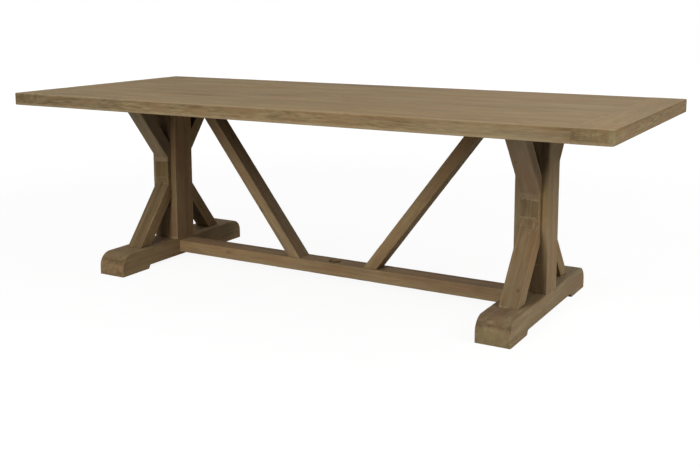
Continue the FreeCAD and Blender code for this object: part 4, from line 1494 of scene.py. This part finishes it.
@dataclass
class Studio:
    """A pale floor, soft lamps and the camera."""

    image_width: int = 700
    image_height: int = 466
    sensor_width: float = 36.0
    focal_pixels: float = 972.7
    centre_pixel: Span = (336.0, 148.4)
    eye: tuple[float, float, float] = (1.9775, -3.3312, 1.1313)
    yaw: float = math.radians(30.63)
    dip: float = math.radians(8.58)
    roll: float = math.radians(-0.25)
    floor_size: float = 30.0
    floor_seen: str = "#ececea"
    floor_bounce: str = "#b0aeab"
    floor_white: float = 1.07
    # How much of the floor is plain white near the table and far off, and where that changes.
    white_shares: Span = (0.86, 1.0)
    white_reach: Span = (2.5, 6.0)
    fill: float = 0.03
    lamp_target: tuple[float, float, float] = (0, 0, 0.4)
    lamp_distance: float = 5.0
    lamp_height: float = 3.0

    def build(self) -> None:
        """Set the studio up."""
        self.add_floor()
        self.add_world()
        for lamp in LAMPS:
            self.hang(lamp)
        self.add_camera()
        bpy.context.scene.view_settings.view_transform = "Standard"

    @staticmethod
    def seeing_rays(recipe: Recipe) -> bpy.types.Node:
        """Mark the rays that see the background, straight, mirrored or through glass.

        Args:
            recipe: The floor's or the backdrop's recipe.

        Returns:
            1 for such a ray and 0 for one that lights the table.
        """
        ray = recipe.add("LightPath", {})
        seen = ray.outputs["Is Camera Ray"]
        for kind in ("Is Glossy Ray", "Is Transmission Ray"):
            seen = recipe.add("Math", {0: seen, 1: ray.outputs[kind]}, operation="MAXIMUM")
        return seen

    def add_floor(self) -> None:
        """Lay a pale floor that shows white to the camera and keeps a faint shadow."""
        deselect_all()
        bpy.ops.mesh.primitive_plane_add(size=self.floor_size, location=(0, 0, 0))
        floor = bpy.context.active_object
        floor.name = "studio_floor"
        material = bpy.data.materials.new("pale_floor")
        paint = Recipe(material)
        seeing = self.seeing_rays(paint)
        bounce, seen = linear(self.floor_bounce), linear(self.floor_seen)
        colour = paint.add("Mix", {0: seeing, 6: bounce, 7: seen}, data_type="RGBA")
        plain = paint.add("BsdfDiffuse", {"Color": colour})
        white = paint.add("Emission", {"Color": (1, 1, 1, 1), "Strength": self.floor_white})
        place = paint.add("TexCoord", {})
        away = paint.add("VectorMath", {0: place.outputs["Object"]}, operation="LENGTH")
        near_share, far_share = self.white_shares
        share = paint.add("MapRange", {
            **between(away, self.white_reach), "To Min": near_share, "To Max": far_share,
        })
        mask = paint.add("Math", {0: seeing, 1: share}, **TIMES)
        both = paint.add("MixShader", {0: mask, 1: plain, 2: white})
        paint.add("OutputMaterial", {"Surface": both})
        floor.data.materials.append(material)

    def add_world(self) -> None:
        """Make the backdrop: white where it is seen, a dim fill where it lights."""
        world = bpy.data.worlds.new("studio")
        bpy.context.scene.world = world
        air = Recipe(world)
        fill = air.add("Background", {"Color": (1, 1, 1, 1), "Strength": self.fill})
        white = air.add("Background", {"Color": (1, 1, 1, 1), "Strength": 1.0})
        both = air.add("MixShader", {0: self.seeing_rays(air), 1: fill, 2: white})
        air.add("OutputWorld", {"Surface": both})

    def hang(self, lamp: Lamp) -> None:
        """Hang a lamp and point it at the table.

        Args:
            lamp: The lamp.
        """
        turn, rise = math.radians(lamp.azimuth), math.radians(lamp.elevation)
        away = Vector((math.sin(turn) * math.cos(rise), -math.cos(turn) * math.cos(rise), math.sin(rise)))
        light = bpy.data.lights.new(lamp.name, "AREA")
        light.shape = "RECTANGLE"
        light.size = lamp.width
        light.size_y = self.lamp_height
        light.energy = lamp.power
        holder = bpy.data.objects.new(lamp.name, light)
        holder.location = Vector(self.lamp_target) + away * self.lamp_distance
        holder.rotation_euler = away.to_track_quat("Z", "Y").to_euler()
        bpy.context.scene.collection.objects.link(holder)

    def add_camera(self) -> None:
        """Stand the camera in front of the table's right end, a little above the top."""
        camera = bpy.data.cameras.new("camera")
        camera.sensor_width = self.sensor_width
        camera.lens = self.focal_pixels / self.image_width * camera.sensor_width
        camera.shift_x = (self.image_width / 2 - self.centre_pixel[0]) / self.image_width
        camera.shift_y = (self.centre_pixel[1] - self.image_height / 2) / self.image_width
        ahead = Vector((
            -math.sin(self.yaw) * math.cos(self.dip), math.cos(self.yaw) * math.cos(self.dip),
            -math.sin(self.dip),
        ))
        level = Vector((math.cos(self.yaw), math.sin(self.yaw), 0))
        upright = level.cross(ahead)
        right = level * math.cos(self.roll) + upright * math.sin(self.roll)
        up = upright * math.cos(self.roll) - level * math.sin(self.roll)
        holder = bpy.data.objects.new("camera", camera)
        stance = Matrix((right, up, -ahead)).transposed().to_4x4()
        holder.matrix_world = Matrix.Translation(self.eye) @ stance
        bpy.context.scene.collection.objects.link(holder)
        bpy.context.scene.camera = holder


def main() -> None:
    """Build the table, then its studio."""
    logging.basicConfig(level=logging.INFO, format="%(message)s")
    assemblies = [TableTop(), Ledgers(), Trestle(Side.LEFT), Trestle(Side.RIGHT), Spine(), Joinery()]
    for assembly in assemblies:
        for piece in assembly.build():
            logging.info("%s: %s, %d faces", type(assembly).__name__, piece.name, len(piece.data.polygons))
    Studio().build()


if __name__ == "__main__":
    main()
